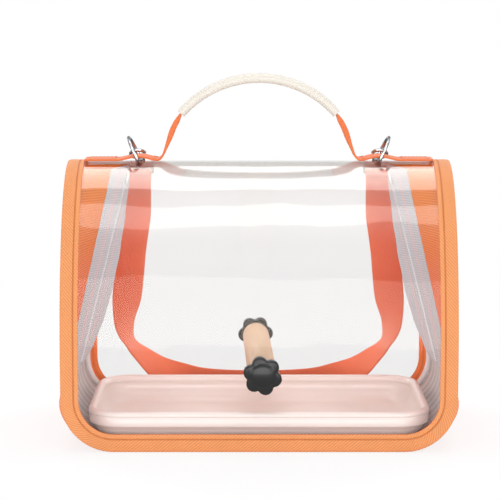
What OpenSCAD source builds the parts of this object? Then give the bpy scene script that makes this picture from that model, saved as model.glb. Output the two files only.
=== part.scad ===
/* [Bag] */
// Width across the edge bindings
bag_w = 300; // [240:1:360]
// Depth from front face to rear face
bag_d = 170; // [150:1:200]
// Height of the crown of the clear sheet
bag_h = 214; // [190:1:250]
// Height at which the front and back start to curve in towards the crown
arch_z = 60; // [50:1:80]
// Radius of the bag's lower corners, seen from the front
corner_r = 40; // [30:1:50]
// Thickness of the clear sheet
sheet_t = 1; // [0.6:0.1:1.2]
// Width of the folded binding that shows
binding_w = 13.6; // [10:0.1:16]
// Thickness of binding, sheet and fabric together
binding_t = 2.8; // [2.4:0.1:3.4]

/* [Base and sides] */
// Height of the fabric base at the sides
base_h = 50; // [46:1:60]
// Thickness of the base fabric
shell_t = 1.2; // [0.8:0.1:1.6]
// Thickness of the base lining
lining_t = 1.6; // [1:0.1:2]
// Thickness of the stiffening board
board_t = 2; // [1.5:0.1:2.5]
// How far the top of each side is drawn in, at the zip
fold_in = 36; // [30:1:38]
// Width of one zip tape
tape_w = 15.5; // [15:0.1:18]
// Width of the closed zip coil
chain_w = 5.6; // [4:0.1:7]

/* [Webbing] */
// Width of the handle and strap webbing
web_w = 25; // [20:1:30]
// Thickness of the webbing
web_t = 1.6; // [1.2:0.1:2]
// Distance of each D-ring's bar from the middle
ring_x = 94.5; // [90:0.5:105]
// Wire thickness of the D-rings and snap hooks
wire_d = 2.6; // [2.4:0.1:2.8]
// Lean of the D-rings, outwards from upright
ring_lean = 25.5; // [20:0.5:28]

/* [Handle] */
// Height of the handle's middle line above the floor
grip_z = 279; // [265:1:300]
// Distance of each end of the grip from the middle
grip_x = 60.8; // [50:0.1:66]
// Height of the grip's ends
grip_end_z = 251.5; // [245:0.5:258]
// Thickness of the grip sleeve
grip_t = 7.2; // [6:0.1:8]
// Distance of each bend at the crown from the middle
kink_x = 76; // [70:1:80]

/* [Perch] */
// Height of the perch at its front end
perch_z = 60.6; // [56:0.1:70]
// Diameter of the dowel
dowel_d = 22; // [18:0.5:24]
// How far the rear end sits below the front end
perch_drop = 2; // [0:0.1:4]
// Sideways skew between the two ends
perch_skew = 4.4; // [0:0.1:6]
// Reach of a knob's lobes from its axis
knob_r = 14.7; // [12:0.1:16]
// Diameter of the threaded studs
stud_d = 6; // [5:0.5:8]

/* [Tray] */
// Width of the tray over its rim
tray_w = 264; // [240:1:264]
// Depth of the tray over its rim
tray_d = 143; // [120:1:146]
// Gap between the tray and the front binding
tray_gap = 8; // [6:1:10]
// Height of the tray
tray_h = 24; // [20:1:28]
// Wall thickness of the tray
tray_t = 1.8; // [1.2:0.1:2.4]

/* [Hidden] */
$fn = 64;
far = 600;                                  // longer than anything here
gap = 0.1;                                  // clearance between soft layers

// ---- side profile of the clear sheet: straight below arch_z, half an ellipse above ----
mid_y = bag_d / 2 - binding_t / 2;          // sheet's middle surface, front and rear
mid_z = bag_h - sheet_t / 2;                // and at the crown
arch_b = mid_z - arch_z;
arch_steps = 48;
function arch_point(t, off) =
    let (n = [arch_b * cos(t), mid_y * sin(t)])
    [mid_y * cos(t), arch_z + arch_b * sin(t)] + off * n / norm(n);
function profile(off, low) = concat([[mid_y + off, low]],
    [for (i = [0:arch_steps]) arch_point(180 * i / arch_steps, off)], [[-mid_y - off, low]]);
function reversed(list) = [for (i = [len(list) - 1:-1:0]) list[i]];
// half depth of the room inside the bindings, at height z
room_y = mid_y - binding_t / 2;
function half_depth(z) = z <= arch_z ? room_y
    : room_y * sqrt(1 - pow((z - arch_z) / (arch_b - binding_t / 2), 2));

// a band that follows the profile, between two offsets from the middle surface
module band(off_in, off_out, width) {
    rotate([90, 0, 90]) linear_extrude(height = width, center = true)
        polygon(concat(profile(off_out, 0), reversed(profile(off_in, 0))));
}
// front outline with two round lower corners, open upwards, as a prism through the bag
module outline(w, r, low) {
    rotate([90, 0, 0]) linear_extrude(height = far, center = true) union() {
        translate([-w / 2, low + r]) square([w, far]);
        translate([-w / 2 + r, low]) square([w - 2 * r, r + 1]);
        for (s = [-1, 1]) translate([s * (w / 2 - r), low + r]) circle(r);
    }
}
module right_side() { mirror([1, 0, 0]) children(); }

// ---- bag shell ----
tuck = 1.5;                                 // sheet stops this far inside the binding's outer edge
module sheet_blank() {
    intersection() {
        band(-sheet_t / 2, sheet_t / 2, bag_w - 2 * tuck);
        outline(bag_w - 2 * tuck, corner_r - tuck, tuck);
    }
}
hole_r = stud_d / 2 + 1.6;
module clear_sheet() {
    color([0.95, 0.95, 0.95, 0.4]) difference() {
        sheet_blank();
        for (s = [-1, 1]) on_perch(s) translate([0, 0, -12]) cylinder(r = hole_r, h = 24);
    }
}
module binding_loop() {
    difference() {
        intersection() {
            band(-binding_t / 2, binding_t / 2, bag_w);
            outline(bag_w, corner_r, 0);
        }
        outline(bag_w - 2 * binding_w, corner_r - binding_w, binding_w);
        sheet_blank();
    }
}
module front_binding() {
    color("sandybrown") intersection() {
        binding_loop();
        translate([-far / 2, -far, -1]) cube(far);
    }
}
module rear_binding() {
    color("sandybrown") intersection() {
        binding_loop();
        translate([-far / 2, 0, -1]) cube(far);
    }
}
shell_w = bag_w - 2.8;
module base_shell() {
    color("darkorange") intersection() {
        difference() {
            outline(shell_w, corner_r - 1.4, 0);
            outline(shell_w - 2 * shell_t, corner_r - 1.4 - shell_t, shell_t);
        }
        translate([-far / 2, -room_y, 0]) cube([far, 2 * room_y, base_h]);
    }
}
board_w = bag_w - 2 * corner_r - 6;
module base_board() {
    color("gray") translate([-board_w / 2, -room_y + 3, shell_t])
        cube([board_w, 2 * room_y - 6, board_t]);
}
floor_z = shell_t + board_t + lining_t;      // top of the lining
lining_w = shell_w - 2 * shell_t - 2 * gap;
lining_r = corner_r - 4;
module base_lining() {
    color("lightgray") intersection() {
        difference() {
            outline(lining_w, lining_r, floor_z - lining_t);
            outline(lining_w - 2 * lining_t, lining_r - lining_t, floor_z);
        }
        translate([-far / 2, -room_y + gap, 0]) cube([far, 2 * (room_y - gap), base_h]);
    }
}

// ---- sides: each half runs from the seam at the binding to the zip, drawn in at the top ----
side_top = bag_h - 6;                       // top of mesh, tapes and coil
seam_x = bag_w / 2 - binding_w + 2.6;       // seam under the binding's stitches
side_low = base_h + gap;
chain_low_x = bag_w / 2 - 6.6;              // coil's distance from the middle, at its lower end
chain_high_x = seam_x - fold_in;            // and at its upper end
chain_y = -5;                               // the zip sits in the front half of the fold
mesh_levels = 14;
function lerp(a, b, t) = a + (b - a) * t;
function side_z(i) = side_low + (side_top - side_low) * sin(90 * i / mesh_levels);
function climb(z) = (z - side_low) / (side_top - side_low);
function chain_x(z) = lerp(chain_low_x, chain_high_x, climb(z));
// the front tape's outer edge lies outside the coil, the rear tape's forms the fold inside it
function front_edge(z) =
    let (x = min(bag_w / 2 - 3, chain_x(z) + 8 + 4.2 * climb(z)), dx = x - chain_x(z))
    [-x, chain_y - chain_w / 2 - gap - sqrt(tape_w * tape_w - dx * dx), z];
function rear_edge(z) =
    let (dx = 9.6 * sin(180 * pow(climb(z), 0.7)) + 0.5)
    [-chain_x(z) + dx, chain_y + chain_w / 2 + gap + sqrt(tape_w * tape_w - dx * dx), z];
function bow_x(z) = bag_w / 2 + 2 - 14 * min(1, climb(z) * 1.6);
function bezier(a, b, c, t) = (1 - t) * (1 - t) * a + 2 * t * (1 - t) * b + t * t * c;
// mesh half, s = -1 front, 1 rear: u runs from the seam, 0, to the tape's edge, 1
function mesh_point(s, z, u) =
    let (edge = (s < 0 ? front_edge(z) : rear_edge(z)) + [0, s * 0.4, 0],
        seam = [-seam_x, s * (half_depth(z) - 0.9), z],
        bow = [-bow_x(z), lerp(edge.y, seam.y, 0.72), z])
    bezier(seam, bow, edge, u);

// closed sheet from rows of middle-surface points, its thickness laid off along X
module skin(rows, thick) {
    n = len(rows);
    m = len(rows[0]);
    layer = n * m;
    points = [for (side = [0.5, -0.5]) for (row = rows) for (p = row) p + [side * thick, 0, 0]];
    faces = concat(
        [for (i = [0:n - 2]) for (j = [0:m - 2]) let (k = i * m + j)
            each [[k, k + 1, k + m + 1], [k, k + m + 1, k + m]]],
        [for (i = [0:n - 2]) for (j = [0:m - 2]) let (k = layer + i * m + j)
            each [[k, k + m + 1, k + 1], [k, k + m, k + m + 1]]],
        [for (j = [0:m - 2]) each [[j, j + layer, j + layer + 1], [j, j + layer + 1, j + 1]]],
        [for (j = [0:m - 2]) let (k = (n - 1) * m + j)
            each [[k, k + layer + 1, k + layer], [k, k + 1, k + layer + 1]]],
        [for (i = [0:n - 2]) let (k = i * m)
            each [[k, k + m + layer, k + layer], [k, k + m, k + m + layer]]],
        [for (i = [0:n - 2]) let (k = i * m + m - 1)
            each [[k, k + layer, k + m + layer], [k, k + m + layer, k + m]]]);
    polyhedron(points, faces);
}
mesh_cols = 8;
function mesh_rows(s) = [for (i = [0:mesh_levels])
    [for (j = [0:mesh_cols]) mesh_point(s, side_z(i), s < 0 ? j / mesh_cols : 1 - j / mesh_cols)]];
module mesh_front() { color("orange") skin(mesh_rows(-1), 0.9); }
module mesh_rear() { color("orange") skin(mesh_rows(1), 0.9); }
module zip_tape_front() {
    color("gainsboro") skin([for (i = [0:mesh_levels]) let (z = side_z(i))
        [front_edge(z), [-chain_x(z), chain_y - chain_w / 2 - gap, z]]], 0.8);
}
module zip_tape_rear() {
    color("gainsboro") skin([for (i = [0:mesh_levels]) let (z = side_z(i))
        [[-chain_x(z), chain_y + chain_w / 2 + gap, z], rear_edge(z)]], 0.8);
}
chain_t = 2;
chain_slot = 1;                             // between the two coils, where the slider's web runs
// angle of the zip's run from upright, and a frame that stands on its lower end
zip_lean = atan((chain_low_x - chain_high_x) / (side_top - side_low));
module on_zip(z) { translate([-chain_x(z), chain_y, z]) rotate([0, zip_lean, 0]) children(); }
chain_len = (side_top - side_low) / cos(zip_lean);
module zip_chain() {
    coil_w = (chain_w - chain_slot) / 2;
    color("white") on_zip(side_low) for (y = [-chain_w / 2, chain_slot / 2])
        translate([-chain_t / 2, y, 0.6]) cube([chain_t, coil_w, chain_len - 1.2]);
}
// slider: an inner and an outer plate on a thin web, with the pull's bail outside
slider_z = side_top - 8;
slider_l = 9;
slider_w = 6.6;
plate_t = 1.1;
slide_gap = 0.3;
pull_pin_r = 0.6;
pull_axis_off = chain_t / 2 + slide_gap + plate_t + 1.5;
pull_l = 22;
module zip_slider() {
    inner = chain_t / 2 + slide_gap;
    color("silver") on_zip(slider_z) union() {
        for (s = [-1, 1]) translate([s * (inner + plate_t / 2), 0, 0])
            cube([plate_t, slider_w, slider_l], center = true);
        cube([2 * inner + 1, chain_slot - 0.3, 4], center = true);
        for (s = [-1, 1]) translate([-inner - plate_t - 1.1, s * 1.9, 0])
            cube([2.4, 1, 4.4], center = true);
        translate([-pull_axis_off, 0, 0]) rotate([90, 0, 0])
            cylinder(r = pull_pin_r, h = 4, center = true);
    }
}
module zip_pull() {
    color("silver") on_zip(slider_z) translate([-pull_axis_off, 0, 0]) difference() {
        union() {
            rotate([90, 0, 0]) cylinder(r = 1.1, h = 2.6, center = true);
            translate([-0.5, -1.3, -6]) cube([1, 2.6, 6]);
            translate([-0.6, -3, -pull_l]) cube([1.2, 6, pull_l - 5]);
        }
        rotate([90, 0, 0]) cylinder(r = pull_pin_r + 0.08, h = 8, center = true);
        translate([0, 0, -pull_l + 4]) rotate([0, 90, 0]) cylinder(r = 1.6, h = 8, center = true);
    }
}
module end_stop(z) {
    on_zip(z) {
        for (s = [-1, 1]) translate([s * (chain_t / 2 + 0.42), 0, 0])
            cube([0.8, chain_w - 0.2, 2], center = true);
        cube([chain_t + 0.4, chain_slot - 0.04, 2], center = true);
    }
}
module zip_end_stops() {
    color("silver") for (m = [0, 1]) mirror([m, 0, 0]) {
        end_stop(side_low + 3);
        end_stop(side_top - 2);
    }
}

// ---- webbing on the crown, D-rings, handle ----
crown_z = bag_h + 0.6;                      // underside of the webbing
bar_z = crown_z + wire_d / 2 - 0.1;         // centre of a ring's bar, on the sheet
hump_z = bar_z + wire_d / 2 + gap;          // underside of the webbing over the bar
hump_half = 4;
hump_run = 11;
web_end_x = bag_w / 2 - binding_w - gap;
function web_line(z) = [[-web_end_x, crown_z + z], [-ring_x - hump_half - hump_run, crown_z + z],
    [-ring_x - hump_half, hump_z + z], [-ring_x + hump_half, hump_z + z],
    [-ring_x + hump_half + hump_run - 2, crown_z + z], [-kink_x - 1.5, crown_z + z]];
module crown_webbing() {
    color("darkorange") rotate([90, 0, 0]) linear_extrude(height = web_w, center = true)
        polygon(concat(web_line(0), reversed(web_line(web_t))));
}
ring_r = web_w / 2 + 0.6 + wire_d / 2;      // middle radius of the ring's bow
ring_leg = 3.9;
wire_bend = 1.8;                            // middle radius of a tight bend in the wire
// a quarter bend from +Y round to +X, centred on its own middle
module wire_corner(d) { rotate_extrude(angle = 90) translate([wire_bend, 0]) circle(d = d); }
module d_ring() {
    half = ring_r - wire_bend;
    color("silver") translate([-ring_x, 0, bar_z]) rotate([0, -ring_lean, 0]) rotate([90, 0, 90]) union() {
        rotate([0, 90, 0]) cylinder(d = wire_d, h = 2 * half, center = true);
        for (m = [0, 1]) mirror([m, 0, 0]) {
            translate([half, wire_bend, 0]) rotate([0, 0, -90]) wire_corner(wire_d);
            translate([ring_r, wire_bend, 0]) rotate([-90, 0, 0])
                cylinder(d = wire_d, h = ring_leg - wire_bend);
        }
        translate([0, ring_leg, 0]) rotate_extrude(angle = 180) translate([ring_r, 0]) circle(d = wire_d);
    }
}
grip_sag = grip_z - grip_end_z;
grip_r = (grip_x * grip_x + grip_sag * grip_sag) / (2 * grip_sag);
grip_angle = asin(grip_x / grip_r);
arc_z = grip_z - grip_r;
grip_w = web_w + 2;
// a strip of given section swept along the handle's arc
module along_grip(half_angle) {
    translate([0, 0, arc_z]) rotate([90, 0, 0]) rotate([0, 0, 90 - half_angle])
        rotate_extrude(angle = 2 * half_angle, $fn = 128) children();
}
module handle_grip() {
    color("linen") along_grip(grip_angle) difference() {
        union() {
            translate([grip_r, 0]) square([grip_t, grip_w - grip_t], center = true);
            for (s = [-1, 1]) translate([grip_r, s * (grip_w - grip_t) / 2]) circle(d = grip_t);
        }
        translate([grip_r, 0]) square([web_t + 0.2, web_w + 0.2], center = true);
    }
}
hinge_z = bag_h + 16;                       // the legs bend at this height
leg_inside = 1.5;                           // how far the leg runs up inside the arc, degrees
function on_arc(a) = [-grip_r * sin(a), arc_z + grip_r * cos(a)];
leg_top = on_arc(grip_angle - leg_inside);
leg_exit = on_arc(grip_angle + leg_inside / 3);
leg_bend = [-65.6, 243];
leg_mid_t = 4.2;                            // the legs are folded double between crown and grip
leg_low = [-kink_x + 1.2, crown_z + web_t];
leg_t = 0.8 * web_t;                        // the leg thins where it enters the grip
module leg_strip() {
    out = leg_t / 2 * [-sin(grip_angle), cos(grip_angle)];
    bend = leg_mid_t / 2 * [-0.9, 0.4];
    low = web_t / 2 * [-1, 0];
    rotate([90, 0, 0]) linear_extrude(height = web_w - 0.2, center = true)
        polygon([leg_top + out, leg_exit + out, leg_bend + bend, leg_low + low,
            leg_low - low, leg_bend - bend, leg_exit - out, leg_top - out]);
}
module handle_webbing() {
    color("darkorange") union() {
        along_grip(grip_angle) translate([grip_r, 0]) square([web_t, web_w], center = true);
        for (m = [0, 1]) mirror([m, 0, 0]) intersection() {
            leg_strip();
            union() {
                translate([-far / 2, -far / 2, hinge_z]) cube(far);
                translate([0, 0, hinge_z]) rotate([0, 90, 0])
                    cylinder(r = web_w / 2 - 0.1, h = far, center = true);
            }
        }
    }
}

// ---- snap hooks, lying back along the rear slope of the crown ----
hook_slope = 36;
bow_in = 4.6;                               // inside radius of the hook's bow
hook_bow_r = bow_in + wire_d / 2;
ring_at = 3.8;                              // the hook holds the ring's rear leg this far up
hang = bow_in - wire_d / 2 - 1.3;           // the ring's wire crosses this far off the bow's centre
hook_x = ring_x + ring_at * sin(ring_lean);
hook_y = ring_r + hang * cos(hook_slope);
hook_z = bar_z + ring_at * cos(ring_lean) - hang * sin(hook_slope);
eye_at = 29;                                // from the bow's centre to the eye's bar
eye_near = 18.5;                            // and to the eye's near side
eye_w = 19;
eye_d = wire_d - 0.4;
barrel_at = 5.6;
barrel_l = 9;
barrel_r = 2.9;
post_r = 1;
head_r = 2;
head_at = 8.6;                              // head of the post, turning in a pocket in the barrel
head_l = 1.8;
// frame of a hook: X towards the strap, Y across, Z off the sheet
module on_hook() {
    translate([-hook_x, hook_y, hook_z]) rotate([-hook_slope, 0, 0]) rotate([0, 0, 90]) children();
}
gate_pivot = [6.2, -3.9];
nose_at = 250;
pin_r = 0.5;
lug_at = 1.7;                               // middle of each lug, off the hook's plane
lug_t = 0.8;
module hook_body() {
    color("silver") on_hook() difference() {
        union() {
            rotate_extrude(angle = nose_at) translate([hook_bow_r, 0]) circle(d = wire_d);
            translate([barrel_at, 0, 0]) rotate([0, 90, 0]) cylinder(r = barrel_r, h = barrel_l);
            for (s = [-1, 1]) translate([0, 0, s * lug_at]) linear_extrude(height = lug_t, center = true)
                polygon([[5, -1], [5, -5.4], [8, -5.4], [10.4, -2], [10.4, 0]]);
        }
        translate([head_at + 1, 0, 0]) rotate([0, 90, 0]) cylinder(r = post_r + 0.05, h = barrel_l);
        translate([head_at - 0.3, 0, 0]) rotate([0, 90, 0]) cylinder(r = head_r + 0.1, h = head_l + 0.6);
        translate([gate_pivot.x, gate_pivot.y, 0]) cylinder(r = pin_r, h = 8, center = true);
        translate([gate_pivot.x, gate_pivot.y, 0]) cylinder(r = 1.7, h = 2 * lug_at - lug_t, center = true);
    }
}
module gate_pin() {
    color("silver") on_hook() translate([gate_pivot.x, gate_pivot.y, 0])
        cylinder(r = pin_r, h = 2 * lug_at + lug_t, center = true);
}
gate_tip = [(hook_bow_r - 0.2) * cos(nose_at), (hook_bow_r - 0.2) * sin(nose_at)];
gate_run = gate_tip - gate_pivot;
gate_len = norm(gate_run) - wire_d / 2 - 0.35;
module hook_gate() {
    color("silver") on_hook() translate([gate_pivot.x, gate_pivot.y, 0])
        rotate([0, 0, atan2(gate_run.y, gate_run.x)]) difference() {
            union() {
                cylinder(r = 1.4, h = 2.2, center = true);
                translate([0.9, 0, 0]) rotate([0, 90, 0]) cylinder(r = 1, h = gate_len - 0.9);
            }
            cylinder(r = pin_r + 0.06, h = 8, center = true);
        }
}
eye_half = (eye_w + eye_d) / 2;             // middle of the eye's side wires, off the hook's axis
module hook_eye() {
    side_l = eye_at - eye_near - 2 * wire_bend;
    color("silver") on_hook() union() {
        translate([head_at, 0, 0]) rotate([0, 90, 0]) cylinder(r = head_r, h = head_l);
        translate([head_at + 1, 0, 0]) rotate([0, 90, 0]) cylinder(r = post_r, h = eye_near - head_at - 1);
        for (x = [eye_near, eye_at]) translate([x, 0, 0]) rotate([90, 0, 0])
            cylinder(d = eye_d, h = 2 * (eye_half - wire_bend), center = true);
        for (m = [0, 1]) mirror([0, m, 0]) {
            translate([eye_at - wire_bend, eye_half - wire_bend, 0]) wire_corner(eye_d);
            translate([eye_near + wire_bend, eye_half - wire_bend, 0])
                rotate([0, 0, 90]) wire_corner(eye_d);
            translate([eye_near + wire_bend, eye_half, 0])
                rotate([0, 90, 0]) cylinder(d = eye_d, h = side_l);
        }
    }
}

// ---- shoulder strap: a ribbon down the back, turned over once at each lower corner ----
// each stop: place of the middle line, width, turn of the width about the run, fold angle in view
bar_y = hook_y + eye_at * cos(hook_slope);
bar_top_z = hook_z - eye_at * sin(hook_slope);
loop_r = eye_d / 2 + 0.2;           // inside of the loop sewn at each end
behind = 2.6;                               // strap's middle, off the sheet
function back_y(z) = (mid_y + behind) * sqrt(1 - pow(max(0, z - arch_z) / (arch_b + behind), 2));
strap_stops = [
    // x, y, z, width, heading of the width in the front view, turn out of it
    [-hook_x, bar_y + loop_r + 1.5 * web_t + gap, bar_top_z + 2, eye_w - 0.6, 0, 0],
    [-97.4, back_y(190), 190, 19.5, 0, 0],
    [-98.6, back_y(180), 180, 21, 0, 0], [-101, back_y(164), 164, 24, -2, 0],
    [-103.7, back_y(150), 150, 25, -3, 0], [-106.5, back_y(132), 132, 25, -3, 0],
    [-109, back_y(108), 108, 25, -3, 0],
    [-111.5, 90, 88, 25, -2, 18], [-113.5, 95.5, 70, 25, 0, 49], [-112.5, 98, 59, 25, 2, 63],
    [-109.6, 99, 50.3, 25, 5, 76], [-105.4, 99, 44.4, 25, 16, 72], [-98.2, 98.8, 38, 25, 36, 64],
    [-89.6, 98.6, 30.6, 25, 50, 52], [-80.5, 98.2, 24.6, 25, 62, 36], [-66, 97, 19.4, 25, 74, 14],
    [-50, 96.2, 15.9, 25, 80, 0], [-28.9, 95.8, 14, 25, 86, 0],
    [0, 95.6, 13.4, 25, 90, 0]];
function ribbon_row(s, m) =
    let (across = [m * cos(s[4]) * cos(s[5]), sin(s[5]), sin(s[4]) * cos(s[5])],
        out = [-m * cos(s[4]) * sin(s[5]), cos(s[5]), -sin(s[4]) * sin(s[5])],
        c = [m * s[0], s[1], s[2]], a = across * s[3] / 2, b = out * web_t / 2)
    [c - a - b, c + a - b, c + a + b, c - a + b];
side_stops = 8;                              // stops of each side, above the folded corner
function side_rows() = [for (i = [0:side_stops]) ribbon_row(strap_stops[i], 1)];
// the far side's rows follow in reverse order, so that the bottom runs on as one
function bottom_rows() = concat(
    [for (i = [side_stops:len(strap_stops) - 1]) ribbon_row(strap_stops[i], 1)],
    [for (i = [len(strap_stops) - 2:-1:side_stops]) ribbon_row(strap_stops[i], -1)]);
module ribbon(rows) {
    n = len(rows);
    points = [for (r = rows) each r];
    faces = concat([[0, 2, 1], [0, 3, 2]],
        [for (i = [0:n - 2]) for (j = [0:3]) let (a = 4 * i + j, b = 4 * i + (j + 1) % 4)
            each [[a, b, b + 4], [a, b + 4, a + 4]]],
        [[4 * n - 4, 4 * n - 3, 4 * n - 2], [4 * n - 4, 4 * n - 2, 4 * n - 1]]);
    polyhedron(points, faces);
}
module strap_loop() {
    translate([-hook_x, bar_y, bar_top_z]) rotate([0, 90, 0]) difference() {
        cylinder(r = loop_r + web_t, h = eye_w - 0.6, center = true);
        cylinder(r = loop_r, h = far, center = true);
    }
}
module strap_side() {
    color("coral") {
        ribbon(side_rows());
        strap_loop();
    }
}
module shoulder_strap() { color("coral") ribbon(bottom_rows()); }

// ---- perch ----
perch_run = bag_d;
perch_yaw = atan(perch_skew / perch_run);
perch_pitch = atan(perch_drop / perch_run);
// frame on the perch's axis: s = -1 front end, Z pointing out of the bag; s = 1 rear end
module on_perch(s) {
    translate([0.2, 0, perch_z - perch_drop / 2]) rotate([-perch_pitch, 0, perch_yaw])
        translate([0, s * mid_y, 0]) rotate([-s * 90, 0, 0]) children();
}
wash_t = 1;
dowel_end = sheet_t / 2 + 0.4 + wash_t;      // back from the sheet's middle
insert_r = 4.5;
insert_l = 14;
module perch_dowel() {
    color("burlywood") on_perch(-1) difference() {
        translate([0, 0, -2 * mid_y + dowel_end]) cylinder(d = dowel_d, h = 2 * (mid_y - dowel_end));
        translate([0, 0, -dowel_end - insert_l]) cylinder(r = insert_r, h = insert_l + 1);
        translate([0, 0, -2 * mid_y + dowel_end - 1]) cylinder(r = insert_r, h = insert_l + 1);
    }
}
module perch_inserts() {
    color("gold") for (s = [-1, 1]) on_perch(s) translate([0, 0, -dowel_end - insert_l]) difference() {
        cylinder(r = insert_r, h = insert_l);
        translate([0, 0, 1.5]) cylinder(r = stud_d / 2 + 0.05, h = insert_l);
    }
}
module perch_washers() {
    color("silver") for (s = [-1, 1]) on_perch(s) translate([0, 0, -dowel_end]) difference() {
        cylinder(r = 9, h = wash_t);
        translate([0, 0, -1]) cylinder(r = stud_d / 2 + 0.4, h = wash_t + 2);
    }
}
knob_at = sheet_t / 2 + 0.5;
collar_h = 3;
lobe_h = 8;
lobe_r = 4.7;
module star(first) {
    circle(10.4);
    for (i = [0:5]) rotate(first + 60 * i) translate([knob_r - lobe_r, 0]) circle(lobe_r);
}
dome_r = 16;
module knob(first) {
    translate([0, 0, knob_at]) difference() {
        union() {
            cylinder(r = 7.5, h = collar_h + 1);
            translate([0, 0, collar_h]) linear_extrude(height = lobe_h) star(first);
            translate([0, 0, collar_h + lobe_h]) intersection() {
                translate([0, 0, 2.4 - dome_r]) sphere(r = dome_r, $fn = 96);
                cylinder(r = 9.6, h = 4);
            }
        }
        translate([0, 0, -1]) cylinder(r = stud_d / 2, h = 1 + collar_h + 5);
    }
}
front_lobe = 103.6;
rear_lobe = 3;
module front_knob() { color([0.12, 0.12, 0.13]) on_perch(-1) knob(front_lobe); }
module rear_knob() { color([0.12, 0.12, 0.13]) on_perch(1) knob(-rear_lobe); }
module stud() {
    translate([0, 0, -dowel_end - 9]) cylinder(d = stud_d, h = dowel_end + 9 + knob_at + collar_h + 5);
}
module front_stud() { color("silver") on_perch(-1) stud(); }
module rear_stud() { color("silver") on_perch(1) stud(); }

// ---- tray: rounded underneath, rolled rim, open above ----
tray_r = 27;
tray_y = -room_y + tray_gap - 2.6;          // front of the rim
tray_z = floor_z + gap;
rim_h = 11.8;                               // height of the rim's outer lip
bead_h = 4.4;                               // and of the round bead on top of it
bead_out = 0.7;                             // bead's overhang beyond the lip
rim_out = 2.2;
foot_r = 18;                                // rounding under the walls
function tray_corners(inset) = [for (sx = [-1, 1]) for (sy = [0, 1])
    [sx * (tray_w / 2 - inset - (tray_r - inset)),
     tray_y + inset + (tray_r - inset) + sy * (tray_d - 2 * inset - 2 * (tray_r - inset))]];
module slab(inset, low, high) {
    for (c = tray_corners(inset)) translate([c.x, c.y, low])
        cylinder(r = tray_r - inset, h = high - low, $fn = 40);
}
module tray_form(inset, foot, low, high) {
    hull() {
        for (i = [0:4]) let (a = 18 * i + 9, z = low + foot * (1 - cos(a)))
            slab(inset + foot * (1 - sin(a)), z, z + 0.1);
        slab(inset, low + foot, high);
    }
}
module tray() {
    top = tray_z + tray_h;
    lip_w = 6.4;                            // the rim covers the wall and a step inside it
    color("mistyrose") difference() {
        union() {
            tray_form(rim_out, foot_r, tray_z, top - 0.5);
            hull() slab(bead_out, top - rim_h, top - 2);
            hull() {
                slab(0, top - bead_h + 0.5, top - 2.4);
                slab(bead_out, top - bead_h, top - 1.2);
                slab(3.2, top - bead_h, top);
            }
        }
        tray_form(rim_out + tray_t, foot_r - tray_t, tray_z + tray_t, top - 5);
        slab(lip_w, top - 6, top + 1);
        translate([-tray_w / 2 + lip_w, tray_y + tray_r, top - 6])
            cube([tray_w - 2 * lip_w, tray_d - 2 * tray_r, 7]);
        translate([-tray_w / 2 + tray_r, tray_y + lip_w, top - 6])
            cube([tray_w - 2 * tray_r, tray_d - 2 * lip_w, 7]);
    }
}

clear_sheet();
front_binding();
rear_binding();
base_shell();
base_board();
base_lining();
mesh_front();  // left_mesh_front
mesh_rear();  // left_mesh_rear
right_side() mesh_front();  // right_mesh_front
right_side() mesh_rear();  // right_mesh_rear
zip_tape_front();  // left_zip_tape_front
zip_tape_rear();  // left_zip_tape_rear
right_side() zip_tape_front();  // right_zip_tape_front
right_side() zip_tape_rear();  // right_zip_tape_rear
zip_chain();  // left_zip_chain
right_side() zip_chain();  // right_zip_chain
zip_end_stops();
zip_slider();  // left_zip_slider
right_side() zip_slider();  // right_zip_slider
zip_pull();  // left_zip_pull
right_side() zip_pull();  // right_zip_pull
crown_webbing();  // left_crown_webbing
right_side() crown_webbing();  // right_crown_webbing
d_ring();  // left_d_ring
right_side() d_ring();  // right_d_ring
handle_webbing();
handle_grip();
shoulder_strap();
strap_side();  // left_strap_side
right_side() strap_side();  // right_strap_side
hook_body();  // left_hook_body
right_side() hook_body();  // right_hook_body
hook_gate();  // left_hook_gate
right_side() hook_gate();  // right_hook_gate
gate_pin();  // left_gate_pin
right_side() gate_pin();  // right_gate_pin
hook_eye();  // left_hook_eye
right_side() hook_eye();  // right_hook_eye
perch_dowel();
perch_inserts();
perch_washers();
front_knob();
front_stud();
rear_knob();
rear_stud();
tray();
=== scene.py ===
"""Bird travel carrier: the looks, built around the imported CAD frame."""

import math
import bmesh
import bpy
from mathutils import Matrix, Vector


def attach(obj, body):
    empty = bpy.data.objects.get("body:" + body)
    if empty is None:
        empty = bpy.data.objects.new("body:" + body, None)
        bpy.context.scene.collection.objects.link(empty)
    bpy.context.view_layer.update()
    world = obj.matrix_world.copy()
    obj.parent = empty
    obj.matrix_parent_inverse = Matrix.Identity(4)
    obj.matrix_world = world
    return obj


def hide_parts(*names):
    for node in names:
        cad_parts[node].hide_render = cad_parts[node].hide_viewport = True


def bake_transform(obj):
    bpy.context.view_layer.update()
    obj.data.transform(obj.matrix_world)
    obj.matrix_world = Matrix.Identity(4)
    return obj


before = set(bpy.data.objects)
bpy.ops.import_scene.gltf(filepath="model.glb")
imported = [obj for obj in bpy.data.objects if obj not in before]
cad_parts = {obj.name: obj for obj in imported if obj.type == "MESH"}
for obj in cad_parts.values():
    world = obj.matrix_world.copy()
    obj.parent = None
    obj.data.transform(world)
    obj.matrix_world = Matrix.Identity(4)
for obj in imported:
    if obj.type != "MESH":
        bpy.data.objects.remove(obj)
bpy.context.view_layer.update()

TAU = 2 * math.pi
MM = 0.001

bl_info = {
    "name": "Bird travel carrier",
    "version": (1, 0, 0),
    "blender": (4, 5, 0),
    "location": "View3D > Sidebar > Carrier",
    "description": "Builds a see-through travel carrier for a small bird around its CAD frame",
    "category": "Object",
}


def tone(red, green, blue):
    """A display colour, 0 to 255, as the linear colour that a shader takes."""
    return tuple(
        c / 12.92 if c <= 0.04045 else ((c + 0.055) / 1.055) ** 2.4
        for c in (red / 255, green / 255, blue / 255)
    )


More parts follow.
